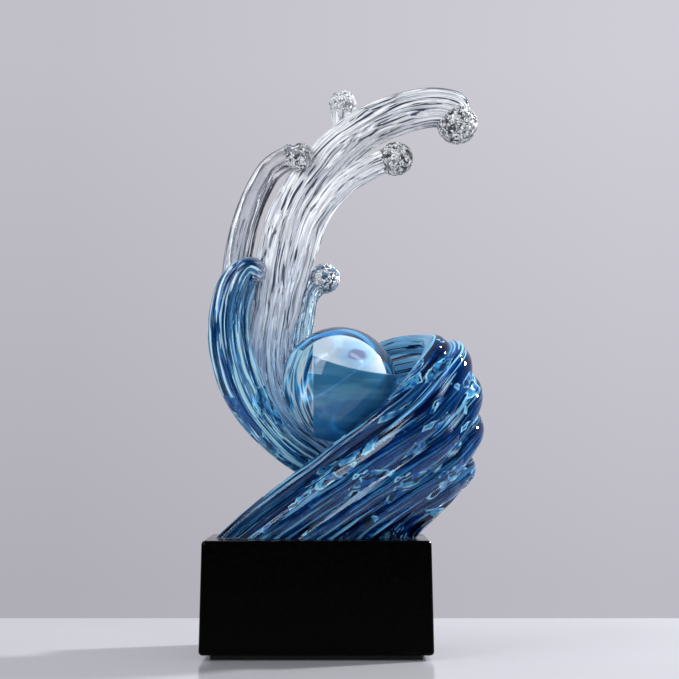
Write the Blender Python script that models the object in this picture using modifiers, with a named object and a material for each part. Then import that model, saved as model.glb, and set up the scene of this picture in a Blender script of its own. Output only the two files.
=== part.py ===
"""Resin wave sculpture on a black plinth, about 192 x 106 x 392 mm.

A fluted swirl of tinted clear resin rises from the plinth, wraps round a clear ball and is
crossed behind it by the tall crest, whose curl and plumes end in knobs of foam. The origin is
the centre of the underside: +X is the viewer's right, +Y the back and +Z up.
"""

import math

import bmesh
import bpy
from mathutils import Matrix, Vector

MM = 0.001

# Plinth and pad
PLINTH_WIDTH = 155 * MM
PLINTH_DEPTH = 96 * MM
PLINTH_HEIGHT = 75 * MM
PLINTH_DRAFT = 1.5 * MM
PLINTH_EDGE_RADIUS = 2.5 * MM
PAD_THICKNESS = 3 * MM
PAD_INSET = 7 * MM
PAD_CORNER_RADIUS = 5 * MM

# Clearance between pieces that touch
GAP = 0.3 * MM
RESIN_GAP = 0.4 * MM

# Ball
BALL_DIAMETER = 80 * MM
BALL_CENTRE = (15 * MM, 0 * MM, 104.5 * MM)
BALL_SEGMENTS = 32

# Fixing screws, their washers and the threaded inserts in the swirl's foot
SCREW_POSITIONS = {"left": (-8 * MM, 2 * MM), "right": (42 * MM, 2 * MM)}
SCREW_DIAMETER = 6 * MM
SCREW_HEAD_DIAMETER = 11 * MM
SCREW_HEAD_HEIGHT = 4 * MM
SCREW_ENGAGEMENT = 9 * MM
WASHER_DIAMETER = 14 * MM
WASHER_THICKNESS = 1.5 * MM
COUNTERBORE_DIAMETER = 17 * MM
COUNTERBORE_DEPTH = 9 * MM
INSERT_DIAMETER = 9 * MM
INSERT_LENGTH = 12 * MM
ROUND_SEGMENTS = 20

# Guide lines of the swirl in millimetres over the plinth: its rim, its waist and its heel
SWIRL_RIM = [
    (-78, -3, -16), (-43, -11, 15), (7, -26, 52), (42, -37, 79), (65, -28, 102),
    (82, -5, 127), (76, 25, 134), (46, 45, 130), (8, 41, 104), (-10, 29, 84),
]
SWIRL_WAIST = [
    (-30, -17, -20), (2, -27, 4), (35, -35, 28), (71, -37, 54), (91, -24, 76),
    (103, -2, 97), (95, 30, 107), (52, 45, 98), (20, 41, 77), (2, 32, 62),
]
SWIRL_HEEL = [
    (38, 2, -24), (58, -8, 6), (70, -20, 21), (82, -20, 33), (92, -9, 43),
    (98, 6, 48), (88, 31, 58), (60, 40, 58), (32, 35, 47), (14, 26, 38),
]
# Half-widths of the swirl's strands, from the rim to the heel
SWIRL_STRANDS = [7.5 * MM, 15 * MM, 11.5 * MM, 12 * MM, 12.5 * MM]
SWIRL_TAPER = [(0, 0.85), (0.25, 1.0), (0.5, 1.05), (0.7, 0.95), (1, 0.8)]
SWIRL_THICKNESS = 11 * MM
SWIRL_STRAND_ROUNDNESS = 1.2
SWIRL_RIBS = [100, 100, 60, 100]
SWIRL_RIBS_START = 220
SWIRL_GROOVE = 0.07
SWIRL_RINGS = 24

# Fewest points across a rib, degrees between them on a wide one, and how much ribs swell and thin
RIB_POINTS = 3
RIB_STEP = 25
RIB_WANDER = 0.15
# Foam knobs: depth of the lumps as a share of the radius, and how many fit across it
LUMP_DEPTH = 0.07
LUMP_PITCH = 7
# Where along a strand its rounded tip starts, and the share of its section left flat at its end
TIP_START = 0.93
TIP_FLAT = 0.05
# Edges of the resin that turn by more than this many degrees stay sharp
SHARP_EDGE = 40


class Strand:
    """One lofted strand of resin: its centre line, its half-sizes along it, ribs and foam knob.

    Its sections stand square to the line, with their depth towards the viewer ("front") or
    outwards from the swirl ("outward"), or they lie flat ("level"). A fullness below 1 swells
    them from an ellipse towards a box. The ribs are degrees round the section, from the start
    angle on, and the groove between them is a share of the radius.
    """

    def __init__(self, line, widths, depths, ribs, rings, groove=0.0, start=0.0, twist=0.0,
                 knob=0.0, knob_from_tip=(0, 0, 0), sections="front", fullness=1.0,
                 round_tip=False):
        self.line = [Vector(p) * MM for p in line]
        self.widths = widths
        self.depths = depths
        self.ribs = ribs
        self.rings = rings
        self.groove = groove
        self.start = start
        self.twist = twist
        self.knob = knob
        self.knob_centre = self.line[-1] + Vector(knob_from_tip) * MM
        self.sections = sections
        self.fullness = fullness
        self.round_tip = round_tip


# Solid heart of the swirl under the ball, which its strands are fused to
HEART = Strand(
    line=[(4, -3, -8), (13, -2, 8), (27, 0, 22), (42, 2, 38), (54, 4, 58), (62, 6, 80)],
    widths=[(0, 64 * MM), (0.3, 55 * MM), (0.6, 49 * MM), (1, 34 * MM)],
    depths=[(0, 25 * MM), (0.3, 28 * MM), (0.6, 36 * MM), (1, 36 * MM)],
    ribs=[36] * 10, rings=10, groove=0.07, twist=40, sections="level", fullness=0.8,
)
CREST = Strand(
    line=[(50, 22, -16), (47, 32, 8), (34, 38, 34), (12, 37, 54), (-13, 28, 72), (-31, 17, 96),
          (-36, 8, 128), (-31, 2, 160), (-26, 0, 192), (-17, 0, 224), (4, 0, 257),
          (34, 0, 283), (68, 0, 296), (92, -1, 296), (104, -1, 285)],
    widths=[(0, 17 * MM), (0.2, 23 * MM), (0.42, 21 * MM), (0.6, 17 * MM), (0.75, 15.5 * MM),
            (0.93, 14 * MM), (1, 6 * MM)],
    depths=[(0, 12 * MM), (0.2, 15 * MM), (0.45, 15 * MM), (0.7, 13 * MM), (0.93, 13 * MM),
            (1, 8 * MM)],
    ribs=[48, 46, 58, 38, 25, 26, 34, 37, 48], rings=42, groove=0.15, start=-30, twist=25,
    knob=14 * MM, knob_from_tip=(-7, 0, 1),
)
CURL = Strand(
    line=[(40, 20, 24), (18, 20, 37), (-6, 10, 51), (-26, -1, 66), (-44, -9, 88),
          (-56, -13, 116), (-60, -14, 144), (-56, -14, 168), (-47, -14, 183), (-36, -14, 178)],
    widths=[(0, 10 * MM), (0.3, 12 * MM), (0.55, 16 * MM), (0.78, 14.5 * MM), (0.92, 8.5 * MM),
            (1, 7 * MM)],
    depths=[(0, 9 * MM), (0.4, 11 * MM), (0.8, 11 * MM), (1, 9 * MM)],
    ribs=[64, 64, 60, 27, 29, 54, 34, 28], rings=26, groove=0.15, start=-20, twist=25,
    round_tip=True,
)
REAR_PLUME = Strand(
    line=[(-12, 30, 82), (-42, 26, 106), (-56, 22, 134), (-59, 22, 166), (-56, 24, 200),
          (-48, 19, 229), (-34, 8, 254), (-17, -8, 263)],
    widths=[(0, 9 * MM), (0.5, 10 * MM), (1, 8.5 * MM)],
    depths=[(0, 9 * MM), (0.6, 9 * MM), (1, 8 * MM)],
    ribs=[80, 60, 50, 60, 110], rings=14, groove=0.06, start=-60, twist=30, knob=9.5 * MM,
    knob_from_tip=(5, -4, -2),
)
DROPLET_PLUME = Strand(
    line=[(-24, 5, 132), (-18, -6, 156), (-13, -11, 178), (-8, -12, 198), (-1, -13, 218),
          (12, -14, 236), (30, -15, 250), (50, -16, 259)],
    widths=[(0, 6 * MM), (0.5, 9 * MM), (0.8, 8.5 * MM), (1, 8.5 * MM)],
    depths=[(0, 6 * MM), (0.5, 8 * MM), (1, 8 * MM)],
    ribs=[75, 85, 70, 60, 70], rings=16, groove=0.08, twist=30, knob=11.5 * MM,
    knob_from_tip=(4, 0, 0),
)
SPRAY_PLUME = Strand(
    line=[(-16, 12, 112), (-12, 4, 132), (-9, 0, 150), (-6, -1, 166), (2, -2, 176)],
    widths=[(0, 6.5 * MM), (0.6, 7 * MM), (1, 8 * MM)],
    depths=[(0, 6.5 * MM), (1, 7.5 * MM)],
    ribs=[90, 85, 65, 120], rings=9, groove=0.08, twist=30, knob=10.5 * MM,
    knob_from_tip=(3, 0, 2),
)
TOP_DROPLET = Strand(
    line=[(22, 13, 272), (17, 18, 287), (16, 20, 299)],
    widths=[(0, 5 * MM), (0.6, 6 * MM), (1, 8 * MM)],
    depths=[(0, 5 * MM), (1, 7.5 * MM)],
    ribs=[90] * 4, rings=6, groove=0.04, knob=9.5 * MM, knob_from_tip=(1.5, 0, 5.5),
)

PLINTH_BOTTOM = PAD_THICKNESS + GAP
PLINTH_TOP = PLINTH_BOTTOM + PLINTH_HEIGHT
FOOT = PLINTH_TOP + GAP


def clear_scene():
    for obj in list(bpy.data.objects):
        bpy.data.objects.remove(obj)


def new_collection(name):
    collection = bpy.data.collections.new(name)
    bpy.context.scene.collection.children.link(collection)
    return collection


def material(name, colour, roughness, metallic=0.0, transmission=0.0):
    made = bpy.data.materials.new(name)
    made.use_nodes = True
    shader = made.node_tree.nodes["Principled BSDF"]
    shader.inputs["Base Color"].default_value = (*colour, 1)
    shader.inputs["Roughness"].default_value = roughness
    shader.inputs["Metallic"].default_value = metallic
    shader.inputs["Transmission Weight"].default_value = transmission
    made.diffuse_color = (*colour, 1)
    return made


def add_object(name, mesh_data, collection, look=None):
    obj = bpy.data.objects.new(name, mesh_data)
    collection.objects.link(obj)
    if look:
        mesh_data.materials.clear()
        mesh_data.materials.append(look)
    return obj


def mesh_from(bm, name):
    bmesh.ops.recalc_face_normals(bm, faces=bm.faces)
    data = bpy.data.meshes.new(name)
    bm.to_mesh(data)
    bm.free()
    return data


def value_at(stops, t):
    """Reads a list of (position, value) stops at t, easing from each stop to the next."""
    for (t0, v0), (t1, v1) in zip(stops, stops[1:]):
        if t <= t1:
            s = (t - t0) / (t1 - t0)
            return v0 + (v1 - v0) * s * s * (3 - 2 * s)
    return stops[-1][1]


def spline(points, t):
    """A point at t, from 0 to 1, on the smooth curve through the points (Catmull-Rom)."""
    ends = [2 * points[0] - points[1], *points, 2 * points[-1] - points[-2]]
    place = min(t, 0.999999) * (len(points) - 1)
    i = int(place)
    s = place - i
    a, b, c, d = ends[i:i + 4]
    return 0.5 * (2 * b + (c - a) * s + (2 * a - 5 * b + 4 * c - d) * s ** 2
                  + (3 * b - a - 3 * c + d) * s ** 3)


def swirl_line(share):
    """The centre line of a strand that lies at this share of the way from rim to heel."""
    rim = 2 * (share - 0.5) * (share - 1)
    waist = 4 * share * (1 - share)
    heel = 2 * share * (share - 0.5)
    return [rim * Vector(a) + waist * Vector(b) + heel * Vector(c)
            for a, b, c in zip(SWIRL_RIM, SWIRL_WAIST, SWIRL_HEEL)]


def swirl_strands():
    """The swirl's strands, laid side by side between its guide lines, and its heart."""
    last = len(SWIRL_STRANDS) - 1
    strands = []
    for i, half in enumerate(SWIRL_STRANDS):
        depth = min(SWIRL_THICKNESS, half * SWIRL_STRAND_ROUNDNESS)
        strands.append(Strand(
            line=swirl_line(i / last),
            widths=[(t, half * share) for t, share in SWIRL_TAPER],
            depths=[(t, depth * share) for t, share in SWIRL_TAPER],
            ribs=SWIRL_RIBS, rings=SWIRL_RINGS, groove=SWIRL_GROOVE, start=SWIRL_RIBS_START,
            sections="outward",
        ))
    return [*strands, HEART]


def ribbed(strand, t):
    """The angle and radius, as a share of the full one, of each point round a section at t.

    Each rib is an arc of a circle that bulges to the full radius, and its ends lie in grooves.
    """
    spans = [rib * (1 + RIB_WANDER * math.sin(t * (5 + k % 3 * 2.5) + k * 2.4))
             for k, rib in enumerate(strand.ribs)]
    to_radians = 2 * math.pi / sum(spans)
    meet = 1 - strand.groove
    angle = math.radians(strand.start + strand.twist * t)
    points = []
    for rib, span in zip(strand.ribs, spans):
        half = span * to_radians / 2
        middle = (1 - meet ** 2) / (2 * (1 - meet * math.cos(half)))
        count = max(RIB_POINTS, round(rib / RIB_STEP))
        for i in range(count):
            turn = half * (2 * i / count - 1)
            reach = math.sqrt((1 - middle) ** 2 - (middle * math.sin(turn)) ** 2)
            points.append((angle + half + turn, middle * math.cos(turn) + reach))
        angle += 2 * half
    return points


def eased(value, power):
    """Raises a sine or cosine to a power, and keeps its sign."""
    return math.copysign(abs(value) ** power, value)


def section(strand, t, grow):
    """The ring of points where the strand is cut at t, from 0 at its root to 1 at its end."""
    up = Vector((0, 0, 1))
    step = 0.01
    centre = spline(strand.line, t)
    ahead = spline(strand.line, min(t + step, 1)) - spline(strand.line, max(t - step, 0))
    if strand.sections == "level":
        ahead = up
    facing = ahead.cross(up) if strand.sections == "outward" else Vector((0, -1, 0))
    across = facing.cross(ahead).normalized()
    facing = ahead.cross(across).normalized()

    past = (t - TIP_START) / (1 - TIP_START) if strand.round_tip else 0
    shrink = math.sqrt(max(1 - past ** 2, TIP_FLAT)) if past > 0 else 1
    half_width = value_at(strand.widths, t) * shrink
    half_depth = value_at(strand.depths, t) * shrink
    ring = []
    for angle, radius in ribbed(strand, t):
        sideways = eased(math.cos(angle), strand.fullness) * (half_width * radius + grow)
        backwards = eased(math.sin(angle), strand.fullness) * (half_depth * radius + grow)
        ring.append(centre + across * sideways - facing * backwards)
    return ring


def loft(strand, name, collection, grow=0.0):
    """Skins the strand's sections into one closed mesh."""
    bm = bmesh.new()
    rings = []
    for i in range(strand.rings + 1):
        points = section(strand, i / strand.rings, grow)
        rings.append([bm.verts.new(point) for point in points])
    for low, high in zip(rings, rings[1:]):
        for j in range(len(low)):
            k = (j + 1) % len(low)
            bm.faces.new((low[j], low[k], high[k], high[j]))
    bm.faces.new(rings[0])
    bm.faces.new(rings[-1])
    bmesh.ops.translate(bm, verts=bm.verts, vec=(0, 0, PLINTH_TOP))
    return add_object(name, mesh_from(bm, name), collection)


def foam_knob(strand, name, collection, grow=0.0):
    """A ball of foam on the strand's end, its surface broken into shallow lumps."""
    bm = bmesh.new()
    bmesh.ops.create_icosphere(bm, subdivisions=3, radius=1)
    for vert in bm.verts:
        x, y, z = vert.co * LUMP_PITCH
        lump = math.sin(x + 1.3) * math.sin(y + 0.4) * math.sin(z + 2.1)
        vert.co *= strand.knob * (1 + LUMP_DEPTH * lump) + grow
    bmesh.ops.translate(bm, verts=bm.verts, vec=strand.knob_centre + Vector((0, 0, PLINTH_TOP)))
    return add_object(name, mesh_from(bm, name), collection)


def boolean(body, tool, operation):
    """Applies one Boolean of the tool to the body, and removes the tool.

    The exact solver pinches the long, nearly tangent seams between strands, so this one is used.
    """
    modifier = body.modifiers.new(tool.name, "BOOLEAN")
    modifier.operation = operation
    modifier.solver = "MANIFOLD"
    modifier.object = tool
    graph = bpy.context.evaluated_depsgraph_get()
    result = bpy.data.meshes.new_from_object(body.evaluated_get(graph))
    body.modifiers.remove(modifier)
    body.data = result
    bpy.data.objects.remove(tool)


def keep_main_body(body):
    """Drops the slivers and hollows that a cut leaves beside the main skin."""
    bm = bmesh.new()
    bm.from_mesh(body.data)
    bmesh.ops.dissolve_degenerate(bm, edges=bm.edges, dist=0.000002)
    left = set(bm.faces)
    skins = []
    while left:
        skin = [left.pop()]
        for face in skin:
            near = {other for edge in face.edges for other in edge.link_faces} & left
            left -= near
            skin.extend(near)
        skins.append(skin)
    skins.sort(key=len)
    for skin in skins[:-1]:
        bmesh.ops.delete(bm, geom=skin, context="FACES")
    bm.to_mesh(body.data)
    bm.free()


def box(name, size, centre_z, collection, look=None):
    """A box of the given (x, y, z) size, centred on the plinth's axis."""
    bm = bmesh.new()
    bmesh.ops.create_cube(bm, size=1, matrix=Matrix.Diagonal((*size, 1)))
    bmesh.ops.translate(bm, verts=bm.verts, vec=(0, 0, centre_z))
    return add_object(name, mesh_from(bm, name), collection, look)


def cylinder(name, diameter, bottom, top, place, collection, look=None):
    """An upright cylinder from one height to the other, at a place on the plinth."""
    bm = bmesh.new()
    bmesh.ops.create_cone(bm, cap_ends=True, segments=ROUND_SEGMENTS, radius1=diameter / 2,
                          radius2=diameter / 2, depth=top - bottom)
    bmesh.ops.translate(bm, verts=bm.verts, vec=(*place, (top + bottom) / 2))
    return add_object(name, mesh_from(bm, name), collection, look)


def ball(name, collection, look=None, grow=0.0):
    """The clear ball, or with grow the seat that it needs."""
    bm = bmesh.new()
    bmesh.ops.create_uvsphere(bm, u_segments=BALL_SEGMENTS, v_segments=BALL_SEGMENTS // 2,
                              radius=BALL_DIAMETER / 2 + grow)
    centre = Vector(BALL_CENTRE) + Vector((0, 0, PLINTH_TOP))
    bmesh.ops.translate(bm, verts=bm.verts, vec=centre)
    return add_object(name, mesh_from(bm, name), collection, look)


def trim_at_foot(body, helpers):
    """Cuts the body off flat, just clear of the plinth."""
    reach = 4 * PLINTH_WIDTH
    slab = box("below_foot", (reach, reach, PLINTH_WIDTH), FOOT - PLINTH_WIDTH / 2, helpers)
    boolean(body, slab, "DIFFERENCE")


def resin(name, strands, cut_by, parts, helpers, look):
    """Fuses strands and their foam into one casting, and cuts it clear of its neighbours."""
    body = loft(strands[0], name, parts)
    for strand in strands[1:]:
        boolean(body, loft(strand, "strand", helpers), "UNION")
    for strand in strands:
        if strand.knob:
            boolean(body, foam_knob(strand, "foam", helpers), "UNION")
    for strand in cut_by:
        boolean(body, loft(strand, "clearance", helpers, RESIN_GAP), "DIFFERENCE")
        if strand.knob:
            boolean(body, foam_knob(strand, "clearance", helpers, RESIN_GAP), "DIFFERENCE")
    boolean(body, ball("seat", helpers, grow=RESIN_GAP), "DIFFERENCE")
    trim_at_foot(body, helpers)
    keep_main_body(body)
    body.data.materials.clear()
    body.data.materials.append(look)
    body.data.shade_smooth()
    body.data.set_sharp_from_angle(angle=math.radians(SHARP_EDGE))
    return body


def plinth(parts, helpers, look):
    """The block, a little wider at its underside, with bores and counterbores for the screws."""
    bm = bmesh.new()
    size = Matrix.Diagonal((PLINTH_WIDTH, PLINTH_DEPTH, PLINTH_HEIGHT, 1))
    bmesh.ops.create_cube(bm, size=1, matrix=size)
    for vert in bm.verts:
        if vert.co.z > 0:
            vert.co.x -= math.copysign(PLINTH_DRAFT, vert.co.x)
            vert.co.y -= math.copysign(PLINTH_DRAFT, vert.co.y)
    bmesh.ops.bevel(bm, geom=bm.edges, offset=PLINTH_EDGE_RADIUS, segments=3, profile=0.5,
                    affect="EDGES")
    bmesh.ops.translate(bm, verts=bm.verts, vec=(0, 0, PLINTH_BOTTOM + PLINTH_HEIGHT / 2))
    body = add_object("plinth", mesh_from(bm, "plinth"), parts, look)
    for place in SCREW_POSITIONS.values():
        bore = cylinder("bore", SCREW_DIAMETER + 2 * GAP, 0, 2 * PLINTH_TOP, place, helpers)
        boolean(body, bore, "DIFFERENCE")
        counterbore = cylinder("counterbore", COUNTERBORE_DIAMETER, 0,
                               PLINTH_BOTTOM + COUNTERBORE_DEPTH, place, helpers)
        boolean(body, counterbore, "DIFFERENCE")


def pad(parts, look):
    """The soft pad under the plinth, set in from its edges."""
    size = (PLINTH_WIDTH - 2 * PAD_INSET, PLINTH_DEPTH - 2 * PAD_INSET, PAD_THICKNESS)
    body = box("base_pad", size, PAD_THICKNESS / 2, parts, look)
    corners = body.modifiers.new("corners", "BEVEL")
    corners.limit_method = "WEIGHT"
    corners.width = PAD_CORNER_RADIUS
    corners.segments = 4
    weights = body.data.attributes.new("bevel_weight_edge", "FLOAT", "EDGE")
    for edge in body.data.edges:
        low, high = (body.data.vertices[i].co for i in edge.vertices)
        if abs(low.z - high.z) > PAD_THICKNESS / 2:
            weights.data[edge.index].value = 1


def fixing(side, place, parts, helpers, looks):
    """One screw with its washer in the counterbore and its threaded insert in the foot."""
    seat = PLINTH_BOTTOM + COUNTERBORE_DEPTH - GAP
    washer_bottom = seat - WASHER_THICKNESS
    head_top = washer_bottom - GAP
    bore = SCREW_DIAMETER + 2 * GAP

    washer = cylinder(f"washer_{side}", WASHER_DIAMETER, washer_bottom, seat, place, parts,
                      looks["steel"])
    boolean(washer, cylinder("bore", bore, 0, 2 * seat, place, helpers), "DIFFERENCE")

    screw = cylinder(f"screw_{side}", SCREW_HEAD_DIAMETER, head_top - SCREW_HEAD_HEIGHT, head_top,
                     place, parts, looks["steel"])
    shank = cylinder("shank", SCREW_DIAMETER, head_top - SCREW_HEAD_HEIGHT / 2,
                     FOOT + SCREW_ENGAGEMENT, place, helpers)
    boolean(screw, shank, "UNION")

    insert = cylinder(f"threaded_insert_{side}", INSERT_DIAMETER, FOOT, FOOT + INSERT_LENGTH,
                      place, parts, looks["brass"])
    boolean(insert, cylinder("bore", bore, 0, 2 * FOOT, place, helpers), "DIFFERENCE")


def cut_insert_pockets(body, helpers):
    """Blind pockets in the swirl's foot that the threaded inserts are bonded into."""
    for place in SCREW_POSITIONS.values():
        pocket = cylinder("pocket", INSERT_DIAMETER + 2 * GAP, 0, FOOT + INSERT_LENGTH + GAP,
                          place, helpers)
        boolean(body, pocket, "DIFFERENCE")


def main():
    clear_scene()
    parts = new_collection("resin_wave_sculpture")
    helpers = new_collection("cutters")
    helpers.hide_render = True
    looks = {
        "lacquer": material("black_lacquer", (0.01, 0.01, 0.012), 0.15),
        "foam_rubber": material("black_foam_rubber", (0.03, 0.03, 0.03), 0.9),
        "steel": material("zinc_steel", (0.6, 0.6, 0.62), 0.35, metallic=1),
        "brass": material("brass", (0.75, 0.56, 0.25), 0.35, metallic=1),
        "clear": material("clear_resin", (0.85, 0.9, 0.95), 0.05, transmission=1),
        "light_blue": material("light_blue_resin", (0.25, 0.55, 0.8), 0.05, transmission=1),
        "deep_blue": material("deep_blue_resin", (0.02, 0.12, 0.35), 0.05, transmission=1),
    }
    pad(parts, looks["foam_rubber"])
    plinth(parts, helpers, looks["lacquer"])
    for side, place in SCREW_POSITIONS.items():
        fixing(side, place, parts, helpers, looks)

    ball("ball", parts, looks["clear"]).data.shade_smooth()
    castings = [
        ("swirl", swirl_strands(), [CREST, CURL, REAR_PLUME], "deep_blue"),
        ("crest", [CREST], [], "clear"),
        ("curl", [CURL], [CREST], "light_blue"),
        ("rear_plume", [REAR_PLUME], [CREST, CURL], "clear"),
        ("droplet_plume", [DROPLET_PLUME], [CREST], "clear"),
        ("spray_plume", [SPRAY_PLUME], [CREST, DROPLET_PLUME], "light_blue"),
        ("top_droplet", [TOP_DROPLET], [CREST], "clear"),
    ]
    for name, strands, cut_by, look in castings:
        resin(name, strands, cut_by, parts, helpers, looks[look])
    cut_insert_pockets(bpy.data.objects["swirl"], helpers)


main()
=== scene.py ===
"""Studio scene of the resin wave sculpture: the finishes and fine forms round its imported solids.

The wave is a set of cast resin pieces, each a bundle of molten-looking ribs drawn along a line,
and some end in a knob of foam. They are built here finely and finished in clear to deep blue
resin. Strands are given in millimetres, with heights over the plinth's top.
"""

from __future__ import annotations

import logging
import math
from collections.abc import Sequence
from dataclasses import dataclass, field
from enum import Enum

import bmesh
import bpy
import numpy as np
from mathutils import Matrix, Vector, noise
from mathutils.bvhtree import BVHTree


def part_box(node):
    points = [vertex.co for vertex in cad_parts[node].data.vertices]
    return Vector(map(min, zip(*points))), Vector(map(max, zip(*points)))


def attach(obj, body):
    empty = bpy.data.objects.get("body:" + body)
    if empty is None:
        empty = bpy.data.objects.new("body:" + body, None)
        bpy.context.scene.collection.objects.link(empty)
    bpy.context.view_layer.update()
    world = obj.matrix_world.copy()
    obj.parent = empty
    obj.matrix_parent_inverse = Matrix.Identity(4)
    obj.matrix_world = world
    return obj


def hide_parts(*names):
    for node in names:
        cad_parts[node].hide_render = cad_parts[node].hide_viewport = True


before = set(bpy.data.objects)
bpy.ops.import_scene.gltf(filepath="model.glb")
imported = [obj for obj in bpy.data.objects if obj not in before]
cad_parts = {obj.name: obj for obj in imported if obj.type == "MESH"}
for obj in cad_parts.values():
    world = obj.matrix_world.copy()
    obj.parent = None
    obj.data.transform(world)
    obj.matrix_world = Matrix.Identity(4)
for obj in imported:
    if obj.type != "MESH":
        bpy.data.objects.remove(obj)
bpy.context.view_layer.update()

LOG = logging.getLogger("resin_wave")
MM = 0.001
PLINTH_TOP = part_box("plinth")[1].z
FOOT_GAP = 0.3 * MM
RESIN_GAP = 0.4 * MM
SLIVER = 0.000002
CREASE = math.radians(42)
ROOT = "root"

# The places that a strand's skin carries: in the straightened strand, and as shares of its size
GRAIN = "grain"
SHARES = "shares"

# Where a rounded tip starts along its strand, and the square of what is left of it at its end
TIP_START = 0.93
TIP_FLAT = 0.05

Point = tuple[float, float, float]
Colour = tuple[float, float, float]
Span = tuple[float, float]
Stops = list[Span]
Tints = Sequence[tuple[float, Colour]]
Node = bpy.types.Node
Socket = bpy.types.NodeSocket

WHITE = (1.0, 1.0, 1.0)
RESIN_IOR = 1.5
NOISE_RANGE = (0.3, 0.7)


class Facing(Enum):
    """Which way the depth of a strand's sections points."""

    FRONT = "towards the viewer"
    OUTWARD = "outwards from the swirl"
    LEVEL = "flat, for a foot"


class Slot(Enum):
    """The record's material slots."""

    FOAM_RUBBER = "foam_rubber"
    LACQUER = "black_lacquer"
    STEEL = "zinc_steel"
    BRASS = "brass"
    DEEP_BLUE = "deep_blue_resin"
    LIGHT_BLUE = "light_blue_resin"
    CLEAR = "clear_resin"
    BALL = "clear_ball"


def catmull_rom(points: np.ndarray, at: np.ndarray) -> np.ndarray:
    """Reads the smooth curve through the points.

    Args:
        points: The points that the curve passes, one a row.
        at: Places along it, from 0 to 1.

    Returns:
        One point a row for each place.
    """
    ends = np.vstack([2 * points[0] - points[1], points, 2 * points[-1] - points[-2]])
    place = np.clip(at, 0, 1 - 1e-9) * (len(points) - 1)
    i = place.astype(int)
    s = (place - i)[:, None]
    a, b, c, d = ends[i], ends[i + 1], ends[i + 2], ends[i + 3]
    return 0.5 * (2 * b + (c - a) * s + (2 * a - 5 * b + 4 * c - d) * s ** 2
                  + (3 * b - a - 3 * c + d) * s ** 3)


def eased_stops(stops: Stops, at: np.ndarray) -> np.ndarray:
    """Reads (place, value) stops at each place, easing from each stop to the next.

    Args:
        stops: Places from 0 to 1 with the value there.
        at: The places to read.

    Returns:
        The value at each place.
    """
    places = np.array([p for p, _ in stops])
    values = np.array([v for _, v in stops])
    i = np.clip(np.searchsorted(places, at, side="right") - 1, 0, len(places) - 2)
    s = np.clip((at - places[i]) / (places[i + 1] - places[i]), 0, 1)
    return values[i] + (values[i + 1] - values[i]) * s * s * (3 - 2 * s)


def unit(rows: np.ndarray) -> np.ndarray:
    """Scales each row to length 1."""
    return rows / np.linalg.norm(rows, axis=-1, keepdims=True)


@dataclass
class Foam:
    """A knob of foam: a ball broken into fine granules.

    A granule's middle stands CROWN of the relief over the mean radius. Finer lumps, LUMPS for
    each granule, add up to LUMP of it. The skin lies at most SKIN of it below that radius.

    Attributes:
        radius: Its mean radius, in millimetres.
        from_tip: Its centre, measured from the end of its strand.
        granule: The size of a granule.
        relief: How far the granules stand out.
    """

    CROWN = 0.55
    LUMP = 0.35
    LUMPS = 2.7
    SKIN = 1.6

    radius: float
    from_tip: Point
    granule: float = 2.2
    relief: float = 0.75

    def centre(self, tip: np.ndarray) -> np.ndarray:
        """The knob's centre in metres, from its strand's end in millimetres."""
        return (tip + np.array(self.from_tip)) * MM + (0, 0, PLINTH_TOP)

    def mesh(self, tip: np.ndarray, name: str, grow: float) -> bpy.types.Object:
        """Builds the knob.

        Args:
            tip: The end of the strand's line.
            name: The name of the new object.
            grow: How much larger to make it, in metres.

        Returns:
            The closed mesh, in place.
        """
        bm = bmesh.new()
        bmesh.ops.create_icosphere(bm, subdivisions=5, radius=1)
        for vert in bm.verts:
            spot = vert.co * self.radius / self.granule
            near = noise.voronoi(spot)[0]
            rough = self.LUMP * noise.noise(spot * self.LUMPS)
            lump = self.CROWN - near[0] + rough
            vert.co *= (self.radius + self.relief * lump) * MM + grow
        bmesh.ops.translate(bm, verts=bm.verts, vec=self.centre(tip))
        return object_from(bm, name)


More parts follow.
